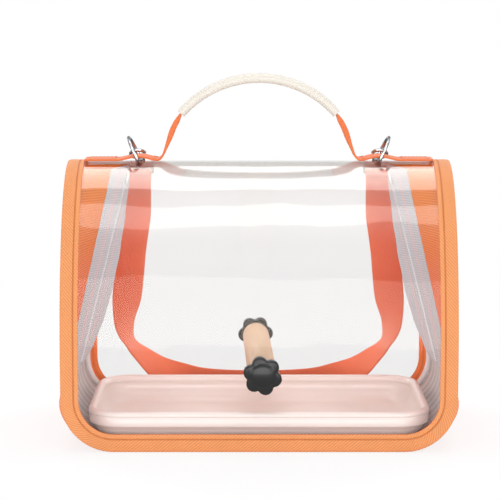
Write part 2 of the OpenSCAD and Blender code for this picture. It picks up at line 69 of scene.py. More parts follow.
def colour_property(name, description, rgb):
    return bpy.props.FloatVectorProperty(
        name=name, description=description, subtype="COLOR", size=3, min=0, max=1, default=tone(*rgb)
    )


def length_property(name, description, default):
    return bpy.props.FloatProperty(
        name=name, description=description, default=default, min=0, unit="LENGTH", precision=5
    )


class CarrierSizes(bpy.types.PropertyGroup):
    stitch_pitch: length_property("Stitch pitch", "Distance from one stitch to the next", 3.2 * MM)
    stitch_inset: length_property("Stitch inset", "From the tape's outer edge to its stitches", 9.9 * MM)
    twill_pitch: length_property("Twill pitch", "Spacing of the edge tape's diagonal ribs", 1.8 * MM)
    mesh_pitch: length_property("Mesh pitch", "Spacing of the side mesh's threads", 1.9 * MM)
    tooth_pitch: length_property("Tooth pitch", "Spacing of the zip's coil turns", 2.1 * MM)


class CarrierColours(bpy.types.PropertyGroup):
    tape: colour_property("Edge tape", "Twill tape round the clear panel", (214, 138, 84))
    thread: colour_property("Thread", "Stitching on the edge tape", (198, 114, 54))
    shell: colour_property("Base fabric", "Outer fabric of the base", (236, 116, 44))
    # Painted light: brighter and redder than the tape's outer colour, for light that shines through the
    # tape from behind.
    backlit_tape: colour_property("Tape's inner face", "Edge tape as seen from inside the bag", (255, 134, 66))
    mesh: colour_property("Side mesh", "Mesh of the two sides", (255, 142, 14))
    lining: colour_property("Lining", "Ribbed lining of the base", (226, 220, 220))
    piping: colour_property("Piping", "Piping along the lining's edges", (255, 254, 255))
    zip_tape: colour_property("Zip tape", "Woven tape on each side of the coil", (202, 205, 212))
    coil: colour_property("Zip coil", "Coil of the zip", (240, 241, 244))
    webbing: colour_property("Handle webbing", "Webbing of the handle", (224, 110, 50))
    strap: colour_property("Strap webbing", "Webbing of the shoulder strap", (255, 124, 80))
    grip: colour_property("Grip", "Sleeve round the handle", (214, 208, 198))
    tray: colour_property("Tray", "Moulded tray", (248, 237, 232))
    wood: colour_property("Perch wood", "Wood of the perch", (232, 206, 176))
    knob: colour_property("Knobs", "Moulded star knobs", (12, 12, 13))


# ---- shader expressions ----


class Amount:
    """A number that changes over a surface: arithmetic on it adds Math nodes."""

    def __init__(self, finish, socket):
        self.finish, self.socket = finish, socket

    def _math(self, operation, *terms):
        node = self.finish.node("ShaderNodeMath", {"operation": operation}, dict(enumerate(terms)))
        return Amount(self.finish, node.outputs[0])

    def __add__(self, other):
        return self._math("ADD", self, other)

    __radd__ = __add__

    def __sub__(self, other):
        return self._math("SUBTRACT", self, other)

    def __rsub__(self, other):
        return self._math("SUBTRACT", other, self)

    def __mul__(self, other):
        return self._math("MULTIPLY", self, other)

    __rmul__ = __mul__

    def sin(self):
        return self._math("SINE", self)

    def abs(self):
        return self._math("ABSOLUTE", self)

    def power(self, exponent):
        return self._math("POWER", self, exponent)

    def least(self, other):
        return self._math("MINIMUM", self, other)

    def ridges(self, pitch):
        """Even waves between 0 and 1, one for each pitch."""
        return (self * (TAU / pitch)).sin() * 0.5 + 0.5

    def step(self, low, high, start=0.0, stop=1.0):
        """Rises smoothly from start to stop as this goes from low to high."""
        node = self.finish.node(
            "ShaderNodeMapRange",
            {"interpolation_type": "SMOOTHSTEP", "clamp": True},
            {0: self, 1: low, 2: high, 3: start, 4: stop},
        )
        return Amount(self.finish, node.outputs[0])


class Finish:
    """A node material with one Principled shader."""

    def __init__(self, name, **constants):
        self.material = bpy.data.materials.new(name)
        self.material.use_nodes = True
        self.nodes = self.material.node_tree.nodes
        self.links = self.material.node_tree.links
        self.shader = self.nodes["Principled BSDF"]
        for label, value in constants.items():
            socket = label.replace("_", " ").title().replace("Ior", "IOR")
            self.shader.inputs[socket].default_value = value

    def feed(self, socket, value):
        """Links a value that changes to a socket, or sets a plain one; a colour gets its alpha of 1."""
        if isinstance(value, Amount):
            self.links.new(value.socket, socket)
        elif isinstance(value, bpy.types.NodeSocket):
            self.links.new(value, socket)
        elif hasattr(value, "__len__") and len(value) == 3 and len(socket.default_value) == 4:
            socket.default_value = (*value, 1)
        else:
            socket.default_value = value

    def node(self, kind, settings=None, sockets=None):
        node = self.nodes.new(kind)
        for key, value in (settings or {}).items():
            setattr(node, key, value)
        for key, value in (sockets or {}).items():
            self.feed(node.inputs[key], value)
        return node

    def split(self, vector):
        parts = self.node("ShaderNodeSeparateXYZ", sockets={0: vector}).outputs
        return [Amount(self, parts[i]) for i in range(3)]

    def along(self):
        """Distance along a piece, and across it, in metres, from its UV map."""
        return self.split(self.node("ShaderNodeUVMap", {"uv_map": "UVMap"}).outputs[0])[:2]

    def place(self):
        return self.node("ShaderNodeTexCoord").outputs["Object"]

    def glance(self):
        """0 where the surface is seen face on, up to 1 at its outline."""
        return Amount(self, self.node("ShaderNodeLayerWeight", sockets={"Blend": 0.5}).outputs["Facing"])

    def noise(self, scale, detail=2.0, stretch=None, rough=0.5, vector=None):
        where = vector or self.place()
        if stretch:
            where = self.node("ShaderNodeMapping", sockets={"Vector": where, "Scale": stretch}).outputs[0]
        node = self.node(
            "ShaderNodeTexNoise",
            sockets={"Vector": where, "Scale": scale, "Detail": detail, "Roughness": rough},
        )
        return Amount(self, node.outputs[0])

    def uv_noise(self, scale, detail=2.0, stretch=None):
        vector = self.node("ShaderNodeUVMap", {"uv_map": "UVMap"}).outputs[0]
        return self.noise(scale, detail, stretch, vector=vector)

    def blend(self, amount, first, second):
        node = self.node("ShaderNodeMix", {"data_type": "RGBA"}, {0: amount, 6: first, 7: second})
        return node.outputs[2]

    def shade(self, colour, amount):
        """The colour made darker or lighter by amount, where 1 leaves it as it is."""
        grey = self.node("ShaderNodeCombineXYZ", sockets={0: amount, 1: amount, 2: amount}).outputs[0]
        return self.node(
            "ShaderNodeMix", {"data_type": "RGBA", "blend_type": "MULTIPLY"}, {0: 1.0, 6: colour, 7: grey}
        ).outputs[2]

    def colour(self, value):
        self.feed(self.shader.inputs["Base Color"], value)

    def roughness(self, value):
        self.feed(self.shader.inputs["Roughness"], value)

    def alpha(self, value):
        self.feed(self.shader.inputs["Alpha"], value)

    def relief(self, height, depth):
        """Bump from a height that runs from 0 to 1, depth in metres."""
        bump = self.node("ShaderNodeBump", sockets={"Height": height, "Distance": depth, "Strength": 1.0})
        self.links.new(bump.outputs[0], self.shader.inputs["Normal"])


# ---- finishes ----

INNER_FACE = 1.0


def tape_finish(colours, sizes):
    """Twill: diagonal ribs, a groove along the stitches painted darker as painted shade, and an inner
    face painted brighter as light that shines through; v is INNER_FACE more on its inner face.
    """
    f = Finish("edge_tape_twill", roughness=0.78, sheen_weight=0.15, sheen_roughness=0.5)
    u, v = f.along()
    inside = v.step(0.4, 0.5)
    v = v - inside * INNER_FACE
    lean, rise = 0.64, 0.77
    rib = (u * lean - v * rise).ridges(sizes.twill_pitch)
    cross = (u * rise + v * lean).ridges(sizes.twill_pitch / 2)
    patch = f.noise(60, 3)
    fleck = f.uv_noise(900, 2, (1, 0.25, 1))
    line = (v - sizes.stitch_inset).abs().step(0.25 * MM, 0.75 * MM, 1, 0) * (1 - inside)
    hem = v.step(sizes.stitch_inset + 0.5 * MM, sizes.stitch_inset + 1.6 * MM)
    fold = v.step(0.0, 2.0 * MM, 1, 0)
    light = rib * 0.3 + cross * 0.05 + patch * 0.1 + fleck * 0.14 + 0.73
    # Painted shade: the stitch line is made darker, for the shade in its groove.
    light = light + hem * 0.04 + fold * 0.05 - line * 0.1
    # The inner face takes the brighter painted-light colour; the stitch line takes the thread's colour.
    deep = f.blend(line, f.blend(inside, colours.tape, colours.backlit_tape), colours.thread)
    f.colour(f.shade(deep, light))
    f.roughness(0.7 + rib * 0.14)
    f.relief(rib * 0.8 + cross * 0.15 + fleck * 0.25 - line * 0.9, 0.2 * MM)
    return f.material


def thread_finish(colours, name="stitch_thread", key="thread"):
    f = Finish(name, roughness=0.6, sheen_weight=0.2)
    twist = f.noise(1600, 2)
    f.colour(f.shade(getattr(colours, key), 0.8 + twist * 0.4))
    f.relief(twist, 0.08 * MM)
    return f.material


def weave_finish(name, colour):
    """Plain weave: threads over and under, along and across."""
    warp, weft, rough, mottle = 0.6 * MM, 0.9 * MM, 0.82, 0.14
    f = Finish(name, roughness=rough, sheen_weight=0.12, sheen_roughness=0.5)
    u, v = f.along()
    over = (u * (TAU / warp)).sin() * (v * (TAU / weft)).sin() * 0.5 + 0.5
    patch = f.noise(35, 3)
    fleck = f.noise(700, 2)
    f.colour(f.shade(colour, over * 0.16 + patch * mottle + fleck * 0.12 + (0.86 - mottle / 2)))
    f.roughness(rough - over * 0.1)
    f.relief(over * 0.8 + fleck * 0.2, 0.15 * MM)
    return f.material


def webbing_finish(name, colour):
    """Flat webbing: fine ribs along it, picks across it, and a closer woven edge."""
    f = Finish(name, roughness=0.62, sheen_weight=0.18, sheen_roughness=0.45)
    u, v = f.along()
    side = (v - WEB_WIDE / 2).abs() * (2 / WEB_WIDE)
    ribs = v.ridges(1.05 * MM)
    sway = (v * (TAU / (2.1 * MM))).sin() * 1.6
    picks = (u * (TAU / (1.3 * MM)) + sway).sin() * 0.5 + 0.5
    edge = side.step(0.88, 0.97)
    patch = f.noise(45, 3)
    fleck = f.noise(900, 2)
    light = ribs * 0.1 + picks * 0.14 + patch * 0.12 + fleck * 0.1 - edge * 0.1 + 0.78
    f.colour(f.shade(colour, light))
    f.roughness(0.55 + picks * 0.15)
    f.relief(ribs * 0.45 + picks * 0.4 + fleck * 0.15, 0.25 * MM)
    return f.material


def mesh_finish(colours, sizes):
    """Open mesh: holes that let a little light through, painted darker and redder as painted shade, and
    redder towards the foot.
    """
    f = Finish("side_mesh_knit", roughness=0.6, sheen_weight=0.1)
    u, v = f.along()
    pitch = sizes.mesh_pitch
    run = (u * (math.pi / pitch)).sin().abs()
    rung = (v * (math.pi / pitch)).sin().abs()
    hole = run.least(rung).step(0.45, 0.75)
    patch = f.noise(25, 2)
    low = f.split(f.place())[2].step(0.07, 0.2, 1, 0)
    # Painted shade: the holes are made darker and redder, for the shade seen through the open knit.
    yarn = f.blend(low * 0.7 + hole * 0.25, colours.mesh, tone(255, 78, 6))
    f.colour(f.shade(yarn, patch * 0.12 - hole * 0.24 + 1.02))
    f.alpha(1.0 - hole * 0.14)
    f.relief(1 - hole, 0.3 * MM)
    return f.material


def film_finish():
    """Clear soft sheet: hardly there face on, glossy at a glance, with a slow waviness."""
    f = Finish("clear_film", roughness=0.06, metallic=1.0)
    wave = f.noise(9, 1.5, (1.0, 1.0, 1.4))
    scuff = f.noise(160, 3, (1, 1, 0.3), rough=0.7).step(0.56, 0.8)
    glance = f.glance()
    f.colour(f.blend(glance.step(0.03, 0.08), tone(118, 112, 106), tone(212, 208, 203)))
    f.alpha(glance.power(2) * 0.62 + scuff * 0.012 + 0.05)
    f.relief(wave, 3.2 * MM)
    return f.material


def lining_finish(colours):
    """Napped cloth with fine ribs, drawn into soft uneven gathers, their hollows painted darker as
    painted shade.
    """
    f = Finish("ribbed_lining", roughness=0.95, sheen_weight=0.4, sheen_roughness=0.7)
    _, v = f.along()
    rib = v.ridges(2.4 * MM)
    gather = (v + f.noise(14, 2) * 10 * MM).ridges(15 * MM)
    nap = f.noise(1400, 3)
    tuft = f.noise(260, 3)
    # Painted shade: the gathers' hollows are made darker, for the shade in the folds.
    light = rib * 0.1 + gather.power(0.6) * 0.34 + nap * 0.2 + tuft * 0.12 + 0.44
    f.colour(f.shade(colours.lining, light))
    f.relief(gather * 0.5 + rib * 0.2 + nap * 0.3, 1.2 * MM)
    return f.material


def zip_tape_finish(colours):
    """Ribbed tape with one pinkish stripe along it."""
    f = Finish("zip_tape_weave", roughness=0.75, sheen_weight=0.15)
    u, v = f.along()
    rung = u.ridges(1.9 * MM)
    line = v.ridges(2.6 * MM)
    fleck = f.noise(1000, 2)
    stripe = (v - 6.5 * MM).abs().step(0.8 * MM, 2.2 * MM, 1, 0)
    yarn = f.blend(stripe * 0.5, colours.zip_tape, tone(232, 198, 202))
    f.colour(f.shade(yarn, rung * 0.22 + line * 0.08 + fleck * 0.1 + 0.8))
    f.relief(rung * 0.7 + line * 0.2, 0.25 * MM)
    return f.material


def moulded_finish(name, colour, rough, grain, depth, **constants):
    """Moulded plastic: a fine skin, small swirls in its gloss and light handling marks."""
    f = Finish(name, roughness=rough, **constants)
    skin = f.noise(grain, 3)
    flow = f.noise(22, 2, (1, 1, 2))
    rub = f.noise(120, 4, (1, 0.3, 1), rough=0.7).step(0.58, 0.75)
    f.colour(f.shade(colour, flow * 0.06 + 0.97))
    f.roughness(rough + skin * 0.06 + rub * 0.08)
    f.relief(skin, depth)
    return f.material


def chrome_finish():
    """Polished chrome with a painted reflection: paler face on and darker at a glance, like wire under a
    softbox reflecting its darker surroundings.
    """
    f = Finish("bright_chrome", metallic=1.0, roughness=0.09)
    haze = f.noise(70, 3)
    mark = f.noise(900, 2, (1, 1, 0.15)).step(0.6, 0.8)
    glance = f.glance()
    # Painted reflection: the colour darkens towards the outline, for dark surroundings seen in the wire.
    painted_reflection = f.blend(glance.step(0.1, 0.55), tone(206, 206, 208), tone(62, 62, 66))
    f.colour(f.shade(painted_reflection, haze * 0.1 + 0.95))
    f.roughness(0.06 + haze * 0.06 + mark * 0.12)
    f.relief(mark, 0.015 * MM)
    return f.material


def metal_finish(name, rgb, rough, metallic=1.0):
    """Plain metal, lightly brushed."""
    f = Finish(name, metallic=metallic, roughness=rough)
    brush = f.noise(1500, 2, (1, 0.08, 1))
    haze = f.noise(90, 2)
    f.colour(f.shade(tone(*rgb), brush * 0.08 + haze * 0.08 + 0.9))
    f.roughness(rough + brush * 0.12)
    f.relief(brush, 0.02 * MM)
    return f.material


def wood_finish(colours):
    """Light wood turned along Y: long grain, darker growth lines, open pores."""
    f = Finish("perch_wood", roughness=0.55)
    bands = f.noise(55, 3, (1, 0.06, 1))
    fine = f.noise(900, 3, (1, 0.03, 1))
    pore = f.noise(1500, 2, (1, 0.05, 1)).step(0.62, 0.72)
    line = (bands * 40).sin() * 0.5 + 0.5
    warm = f.blend(line * 0.5, colours.wood, tone(214, 178, 138))
    f.colour(f.shade(warm, fine * 0.16 - pore * 0.16 + 0.93))
    f.roughness(0.48 + fine * 0.14 + pore * 0.1)
    f.relief(fine * 0.6 - pore * 0.8, 0.08 * MM)
    return f.material


def grip_finish(colours):
    """Smooth off-white leather: fine pebble, soft creases, a little soil."""
    f = Finish("grip_leather", roughness=0.48, coat_weight=0.08, coat_roughness=0.4)
    grain = f.noise(420, 3)
    crease = f.noise(160, 3, (0.5, 1, 1)).step(0.5, 0.62)
    patch = f.noise(40, 3)
    f.colour(f.shade(colours.grip, grain * 0.03 + patch * 0.05 + 0.95))
    f.roughness(0.42 + patch * 0.12 + grain * 0.08)
    f.relief(grain * 0.6 + crease * 0.4, 0.04 * MM)
    return f.material


# ---- making pieces ----

SMOOTH_ANGLE = math.radians(40)
WELD = 1e-6
WEB_WIDE = 25 * MM
WEB_THICK = 1.6 * MM


def wrap_piece(name, bm, material, body, stands_for=(), sharp=SMOOTH_ANGLE):
    """Turns a finished bmesh into a piece that rides on a body, and stands in for CAD nodes."""
    mesh = bpy.data.meshes.new(name)
    for face in bm.faces:
        face.smooth = True
    for edge in bm.edges:
        edge.smooth = len(edge.link_faces) != 2 or edge.calc_face_angle(0) < sharp
    bm.to_mesh(mesh)
    bm.free()
    mesh.materials.append(material)
    piece = bpy.data.objects.new(name, mesh)
    bpy.context.scene.collection.objects.link(piece)
    if body:
        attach(piece, body)
    if stands_for:
        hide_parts(*stands_for)
    return piece


def fresh_mesh():
    bm = bmesh.new()
    bm.loops.layers.uv.new("UVMap")
    return bm


def laid_grid(bm, rows, columns, place, uv):
    """A grid whose corner (i, j) goes to place(i, j); uv gives its distances in metres."""
    made = bmesh.ops.create_grid(bm, x_segments=rows, y_segments=columns, size=1)["verts"]
    low = min(v.co.x for v in made)
    span = max(v.co.x for v in made) - low
    where = {}
    for vert in made:
        across, up = (vert.co.x - low) / span, (vert.co.y - low) / span
        where[vert] = (round(across * rows), round(up * columns))
    layer = bm.loops.layers.uv.verify()
    for face in {f for v in made for f in v.link_faces}:
        for loop in face.loops:
            loop[layer].uv = uv(*where[loop.vert])
    for vert, (i, j) in where.items():
        vert.co = place(i, j)
    return made


def weld(bm, verts, ends=True):
    """Joins what touches, and closes the open ends."""
    bmesh.ops.remove_doubles(bm, verts=verts, dist=WELD)
    if ends:
        rim = [e for e in bm.edges if len(e.link_faces) == 1]
        bmesh.ops.holes_fill(bm, edges=rim, sides=0)
    bmesh.ops.recalc_face_normals(bm, faces=bm.faces)


def distances(points):
    """How far each point is from the first, walked along the line."""
    walked = [0.0]
    for a, b in zip(points, points[1:]):
        walked.append(walked[-1] + (b - a).length)
    return walked


def headings(points):
    """The direction of travel at each point."""
    last = len(points) - 1
    return [(points[min(i + 1, last)] - points[max(i - 1, 0)]).normalized() for i in range(last + 1)]


def even_places(walked, count):
    """count + 1 places evenly along a walked line: index of the point before, and share of the way on."""
    places, k = [], 0
    for i in range(count + 1):
        target = walked[-1] * i / count
        while k < len(walked) - 2 and walked[k + 1] < target:
            k += 1
        span = walked[k + 1] - walked[k]
        places.append((k, (target - walked[k]) / span if span else 0))
    return places


def ribbon_run(bm, centres, across, section, scales=None):
    """Sweeps a closed section (a, b) along centres: a runs along across, b square to it.

    scales gives, for each centre, how many times wider and thicker the section is there."""
    scales = scales or [(1, 1)] * len(centres)
    lengths = distances(centres)
    frames = []
    for centre, run, side in zip(centres, headings(centres), across):
        wide = (side - run * side.dot(run)).normalized()
        frames.append((centre, wide, run.cross(wide)))
    low = min(a for a, b in section)

    def place(i, j):
        centre, wide, out = frames[i]
        a, b = section[j % len(section)]
        return centre + wide * a * scales[i][0] + out * b * scales[i][1]

    def uv(i, j):
        return lengths[i], section[j % len(section)][0] - low

    return laid_grid(bm, len(centres) - 1, len(section), place, uv)


def flat_section(width, thick, waist=0.0):
    """Section of webbing: flat faces and half-round edges; waist thins its middle line."""
    r = thick / 2
    flat = width / 2 - r
    points = []
    bend_steps, flat_steps = 6, 8
    for side in (1, -1):
        for i in range(bend_steps + 1):
            a = math.radians(90 - 180 * i / bend_steps)
            points.append((side * flat + side * r * math.cos(a), side * math.sin(a) * r))
        for i in range(1, flat_steps):
            t = i / flat_steps
            points.append((side * flat * (1 - 2 * t), -side * (r - waist * math.sin(math.pi * t) ** 2)))
    return points


def curve_through(points, step):
    """Even points on a smooth curve through the given vectors (any number of parts)."""
    ends = [points[0] * 2 - points[1]] + list(points) + [points[-1] * 2 - points[-2]]
    dense = []
    for p0, p1, p2, p3 in zip(ends, ends[1:], ends[2:], ends[3:]):
        k = max(2, int((p2 - p1).length / step * 3) + 2)
        for i in range(k):
            t = i / k
            dense.append(
                0.5 * (2 * p1 + (p2 - p0) * t + (2 * p0 - 5 * p1 + 4 * p2 - p3) * t * t
                       + (3 * p1 - p0 - 3 * p2 + p3) * t ** 3)
            )
    dense.append(points[-1].copy())
    walked = distances(dense)
    count = max(2, round(walked[-1] / step))
    return [dense[k].lerp(dense[k + 1], t) for k, t in even_places(walked, count)]


def thread_tube(bm, centres, radii, sides=6):
    """A thin round thread along centres, with a radius for each."""
    n = len(centres)
    aside = Vector((0.31, 0.52, 0.79))
    frames = []
    for centre, run in zip(centres, headings(centres)):
        wide = run.cross(aside).normalized()
        frames.append((centre, wide, run.cross(wide)))

    def place(i, j):
        centre, wide, out = frames[i]
        a = TAU * (j % sides) / sides
        return centre + (wide * math.cos(a) + out * math.sin(a)) * radii[i]

    laid_grid(bm, n - 1, sides, place, lambda i, j: (i / n, j / sides))


def stitch_row(bm, centres, out, pitch, thick=0.6 * MM):
    """One thread along a line of points: it rises over each stitch and dips into the cloth between."""
    walked = distances(centres)
    stitches = max(1, int(walked[-1] / pitch))
    steps = 7
    line, radii = [], []
    for i, (k, t) in enumerate(even_places(walked, stitches * steps)):
        rise = abs(math.sin(math.pi * i / steps)) ** 0.5
        up = out[k].lerp(out[k + 1], t).normalized()
        line.append(centres[k].lerp(centres[k + 1], t) + up * thick * (0.9 * rise - 0.7))
        radii.append(thick / 2 * (0.7 + 0.3 * rise))
    thread_tube(bm, line, radii)


def dress(name, material):
    """Gives a CAD node a better material."""
    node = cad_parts[name]
    if not node.material_slots:
        node.data.materials.append(material)
    for slot in node.material_slots:
        slot.material = material


def round_edges(bm, edges, width):
    bmesh.ops.bevel(bm, geom=edges, offset=width, offset_type="OFFSET", segments=2, profile=0.5,
                    affect="EDGES", clamp_overlap=True, material=-1)


def eased_copy(name, new_name, material, body):
    """A CAD node's shape with its sharp edges rounded off."""
    bm = bmesh.new()
    bm.from_mesh(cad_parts[name].data)
    bmesh.ops.remove_doubles(bm, verts=bm.verts, dist=2 * WELD)
    bmesh.ops.dissolve_limit(
        bm, angle_limit=math.radians(1.5), verts=bm.verts, edges=bm.edges, use_dissolve_boundaries=False
    )
    sharp = [e for e in bm.edges if len(e.link_faces) == 2 and e.calc_face_angle(0) > math.radians(25)]
    round_edges(bm, sharp, 0.25 * MM)
    bmesh.ops.triangulate(bm, faces=[f for f in bm.faces if len(f.verts) > 4])
    return wrap_piece(new_name, bm, material, body, (name,), sharp=math.radians(50))


# ---- shape of the clear panel: an arch from the front's foot to the rear's ----

SHEET_Y = 83.6 * MM
ARCH_Z = 60 * MM
ARCH_RISE = 153.5 * MM
ARCH_STEPS = 600
ROOM_Y = 82.2 * MM
ROOM_RISE = 152.1 * MM
BAG_HALF = 150 * MM
CORNER = 40 * MM


def arch_table():
    """Distance walked from the front's foot, with the point and outward normal there."""
    points = [(Vector((0, -SHEET_Y, 0)), Vector((0, -1, 0)))]
    for i in range(ARCH_STEPS + 1):
        t = math.pi * (1 - i / ARCH_STEPS)
        point = Vector((0, SHEET_Y * math.cos(t), ARCH_Z + ARCH_RISE * math.sin(t)))
        normal = Vector((0, ARCH_RISE * math.cos(t), SHEET_Y * math.sin(t))).normalized()
        points.append((point, normal))
    points.append((Vector((0, SHEET_Y, 0)), Vector((0, 1, 0))))
    return points, distances([point for point, _ in points])


ARCH, WALKED = arch_table()
PANEL_LENGTH = WALKED[-1]


def on_panel(x, s, lift=0.0):
    """Point on the clear panel, s along the arch, lifted off its middle surface."""
    s = min(max(s, 0.0), PANEL_LENGTH)
    low, high = 0, len(WALKED) - 1
    while high - low > 1:
        mid = (low + high) // 2
        if WALKED[mid] <= s:
            low = mid
        else:
            high = mid
    t = (s - WALKED[low]) / (WALKED[high] - WALKED[low])
    point = ARCH[low][0].lerp(ARCH[high][0], t)
    normal = ARCH[low][1].lerp(ARCH[high][1], t).normalized()
    return Vector((x, 0, 0)) + point + normal * lift


def panel_normal(s):
    return (on_panel(0, s, 1 * MM) - on_panel(0, s)).normalized()


def half_width(s, half, radius, low):
    """Half the panel's width at s, with its four corners rounded."""
    edge = min(s, PANEL_LENGTH - s) - low
    if edge >= radius:
        return half
    drop = radius - max(edge, 0)
    return half - radius + math.sqrt(max(radius * radius - drop * drop, 0))


def front_y(z):
    """Depth of the room inside the edge tape at height z, from the middle."""
    if z <= ARCH_Z:
        return ROOM_Y
    return ROOM_Y * math.sqrt(max(0, 1 - ((z - ARCH_Z) / ROOM_RISE) ** 2))


class CarrierOperator:
    """What the steps share: each makes its pieces from the panel's sizes and colours"""

    bl_options = {"REGISTER", "UNDO"}

    def execute(self, context):
        self.make(context.scene.carrier_sizes, context.scene.carrier_colours)
        return {"FINISHED"}


class CARRIER_OT_clear_panel(CarrierOperator, bpy.types.Operator):
    """The clear sheet that makes the front, the crown and the back"""

    bl_idname = "carrier.clear_panel"
    bl_label = "Clear panel"

    def make(self, sizes, colours):
        rows, columns = 150, 48
        tuck, gauge = 1.5 * MM, 1 * MM
        half, radius = BAG_HALF - tuck, CORNER - tuck
        width, length = 2 * half, PANEL_LENGTH - 2 * tuck

        def run(i):
            """Distance to row i: the rows lie closer at both feet, where the corners are."""
            t = i / rows
            return tuck + length * (t - math.sin(TAU * t) / TAU * 0.6)

        def place(i, j):
            s = run(i)
            x = half_width(s, half, radius, tuck) * (2 * j / columns - 1)
            return on_panel(x, s, gauge / 2)

        bm = fresh_mesh()
        laid_grid(bm, rows, columns, place, lambda i, j: (run(i), width * j / columns))
        bmesh.ops.recalc_face_normals(bm, faces=bm.faces)
        if bm.faces[0].normal.y > 0:
            bmesh.ops.reverse_faces(bm, faces=bm.faces)
        bmesh.ops.solidify(bm, geom=bm.faces[:], thickness=gauge)
        film = wrap_piece("clear_panel", bm, film_finish(), "bag", ("clear_sheet",))
        corners = (4 - math.pi) * radius * radius
        width * length - corners


def tape_path():
    """Outer edge of the tape as (x, s, inward x, inward s), round the whole panel and back."""
    length = PANEL_LENGTH
    step = 2.2 * MM
    legs = []

    def straight(x0, s0, x1, s1, nx, ns):
        count = max(1, round(math.hypot(x1 - x0, s1 - s0) / step))
        for i in range(count):
            t = i / count
            legs.append((x0 + (x1 - x0) * t, s0 + (s1 - s0) * t, nx, ns))

    def corner(cx, cs, first):
        count = round(CORNER * math.pi / 2 / step)
        for i in range(count):
            a = math.radians(first + 90 * i / count)
            legs.append((cx + CORNER * math.cos(a), cs + CORNER * math.sin(a),
                         -math.cos(a), -math.sin(a)))

    inner = BAG_HALF - CORNER
    straight(-inner, 0, inner, 0, 0, 1)
    corner(inner, CORNER, -90)
    straight(BAG_HALF, CORNER, BAG_HALF, length - CORNER, -1, 0)
    corner(inner, length - CORNER, 0)
    straight(inner, length, -inner, length, 0, -1)
    corner(-inner, length - CORNER, 90)
    straight(-BAG_HALF, length - CORNER, -BAG_HALF, CORNER, 1, 0)
    corner(-inner, CORNER, 180)
    return legs + legs[:1]


class CARRIER_OT_edge_tape(CarrierOperator, bpy.types.Operator):
    """Twill tape folded over the clear panel's edge, and its stitches"""

    bl_idname = "carrier.edge_tape"
    bl_label = "Edge tape"

    def make(self, sizes, colours):
        legs = tape_path()
        seam = sizes.stitch_inset
        thread_lift = 1.16 * MM
        profile = [(13.6, 0.62), (13.55, 1.15), (12.9, 1.34), (11.4, 1.38), (10.6, 1.26), (9.9, 1.04),
                   (9.2, 1.26), (8.2, 1.42), (6.0, 1.5), (3.6, 1.46), (1.8, 1.36), (0.8, 1.1), (0.2, 0.6)]
        outer = [(d * MM, t * MM) for d, t in profile]
        inside = [(2.6 * MM, -0.55 * MM), (2.6 * MM, 0.55 * MM)]
        section = outer + [(0.0, 0.0)] * 2 + [(d, -t) for d, t in reversed(outer)] + inside
        n = len(section)
        first_inner = len(outer) + 1
        walked = distances([Vector((x, s)) for x, s, _, _ in legs])

        def place(i, j):
            x, s, nx, ns = legs[i]
            d, t = section[j % n]
            return on_panel(x + nx * d, s + ns * d, t)

        def uv(i, j):
            return walked[i], section[j % n][0] + (INNER_FACE if first_inner <= j < n else 0)

        bm = fresh_mesh()
        weld(bm, laid_grid(bm, len(legs) - 1, n, place, uv), ends=False)
        wrap_piece("edge_tape", bm, tape_finish(colours, sizes), "bag",
                   ("front_binding", "rear_binding"))
        bm = fresh_mesh()
        for face in (1, -1):
            lift = face * thread_lift
            centres = [on_panel(x + nx * seam, s + ns * seam, lift) for x, s, nx, ns in legs]
            out = [panel_normal(s + ns * seam) * face for _, s, _, ns in legs]
            stitch_row(bm, centres, out, sizes.stitch_pitch)
        wrap_piece("edge_stitches", bm, thread_finish(colours), "bag")


# ---- base ----


def base_path(half, radius, low, top, step=2.5 * MM):
    """From the left wall's top down, along the floor and up the right wall: (x, z, out x, out z)."""
    wall = []
    rise = top - low - radius
    count = max(2, round(rise / step))
    for i in range(count):
        wall.append((-half, top - rise * i / count, -1, 0))
    turns = 16
    inner = half - radius
    for i in range(turns):
        a = math.radians(180 + 90 * i / turns)
        wall.append((-inner + radius * math.cos(a), low + radius + radius * math.sin(a),
                     math.cos(a), math.sin(a)))
    count = round(2 * inner / (3 * step))
    flat = [(-inner + 2 * inner * i / count, low, 0, -1) for i in range(count + 1)]
    return wall + flat + [(-x, z, -nx, nz) for x, z, nx, nz in reversed(wall)]


def base_cloth(bm, path, half_y, bulge, thick):
    """Cloth along a base path, from the front tape to the rear, that swells between them.

    The swelling grows from nothing at the seam on top, and never goes below the ground."""
    walked = distances([Vector((x, z)) for x, z, _, _ in path])
    columns = 26
    seam_z = path[0][1]
    ease = 24 * MM

    def place(i, j):
        x, z, nx, nz = path[i]
        t = 2 * j / columns - 1
        below = min(1, (seam_z - z) / ease)
        swell = bulge * (1 - t ** 8) * abs(nx) ** 0.7 * math.sin(math.pi / 2 * below)
        return Vector((x + nx * swell, t * half_y, max(0.0, z + nz * swell * 0.4)))

    laid_grid(bm, len(path) - 1, columns, place, lambda i, j: (walked[i], 2 * half_y * j / columns))
    bmesh.ops.recalc_face_normals(bm, faces=bm.faces)
    centre = sum((f.calc_center_median() for f in bm.faces), Vector()) / len(bm.faces)
    first = bm.faces[:][0]
    if first.normal.dot(first.calc_center_median() - centre) < 0:
        bmesh.ops.reverse_faces(bm, faces=bm.faces)
    bmesh.ops.solidify(bm, geom=bm.faces[:], thickness=thick)


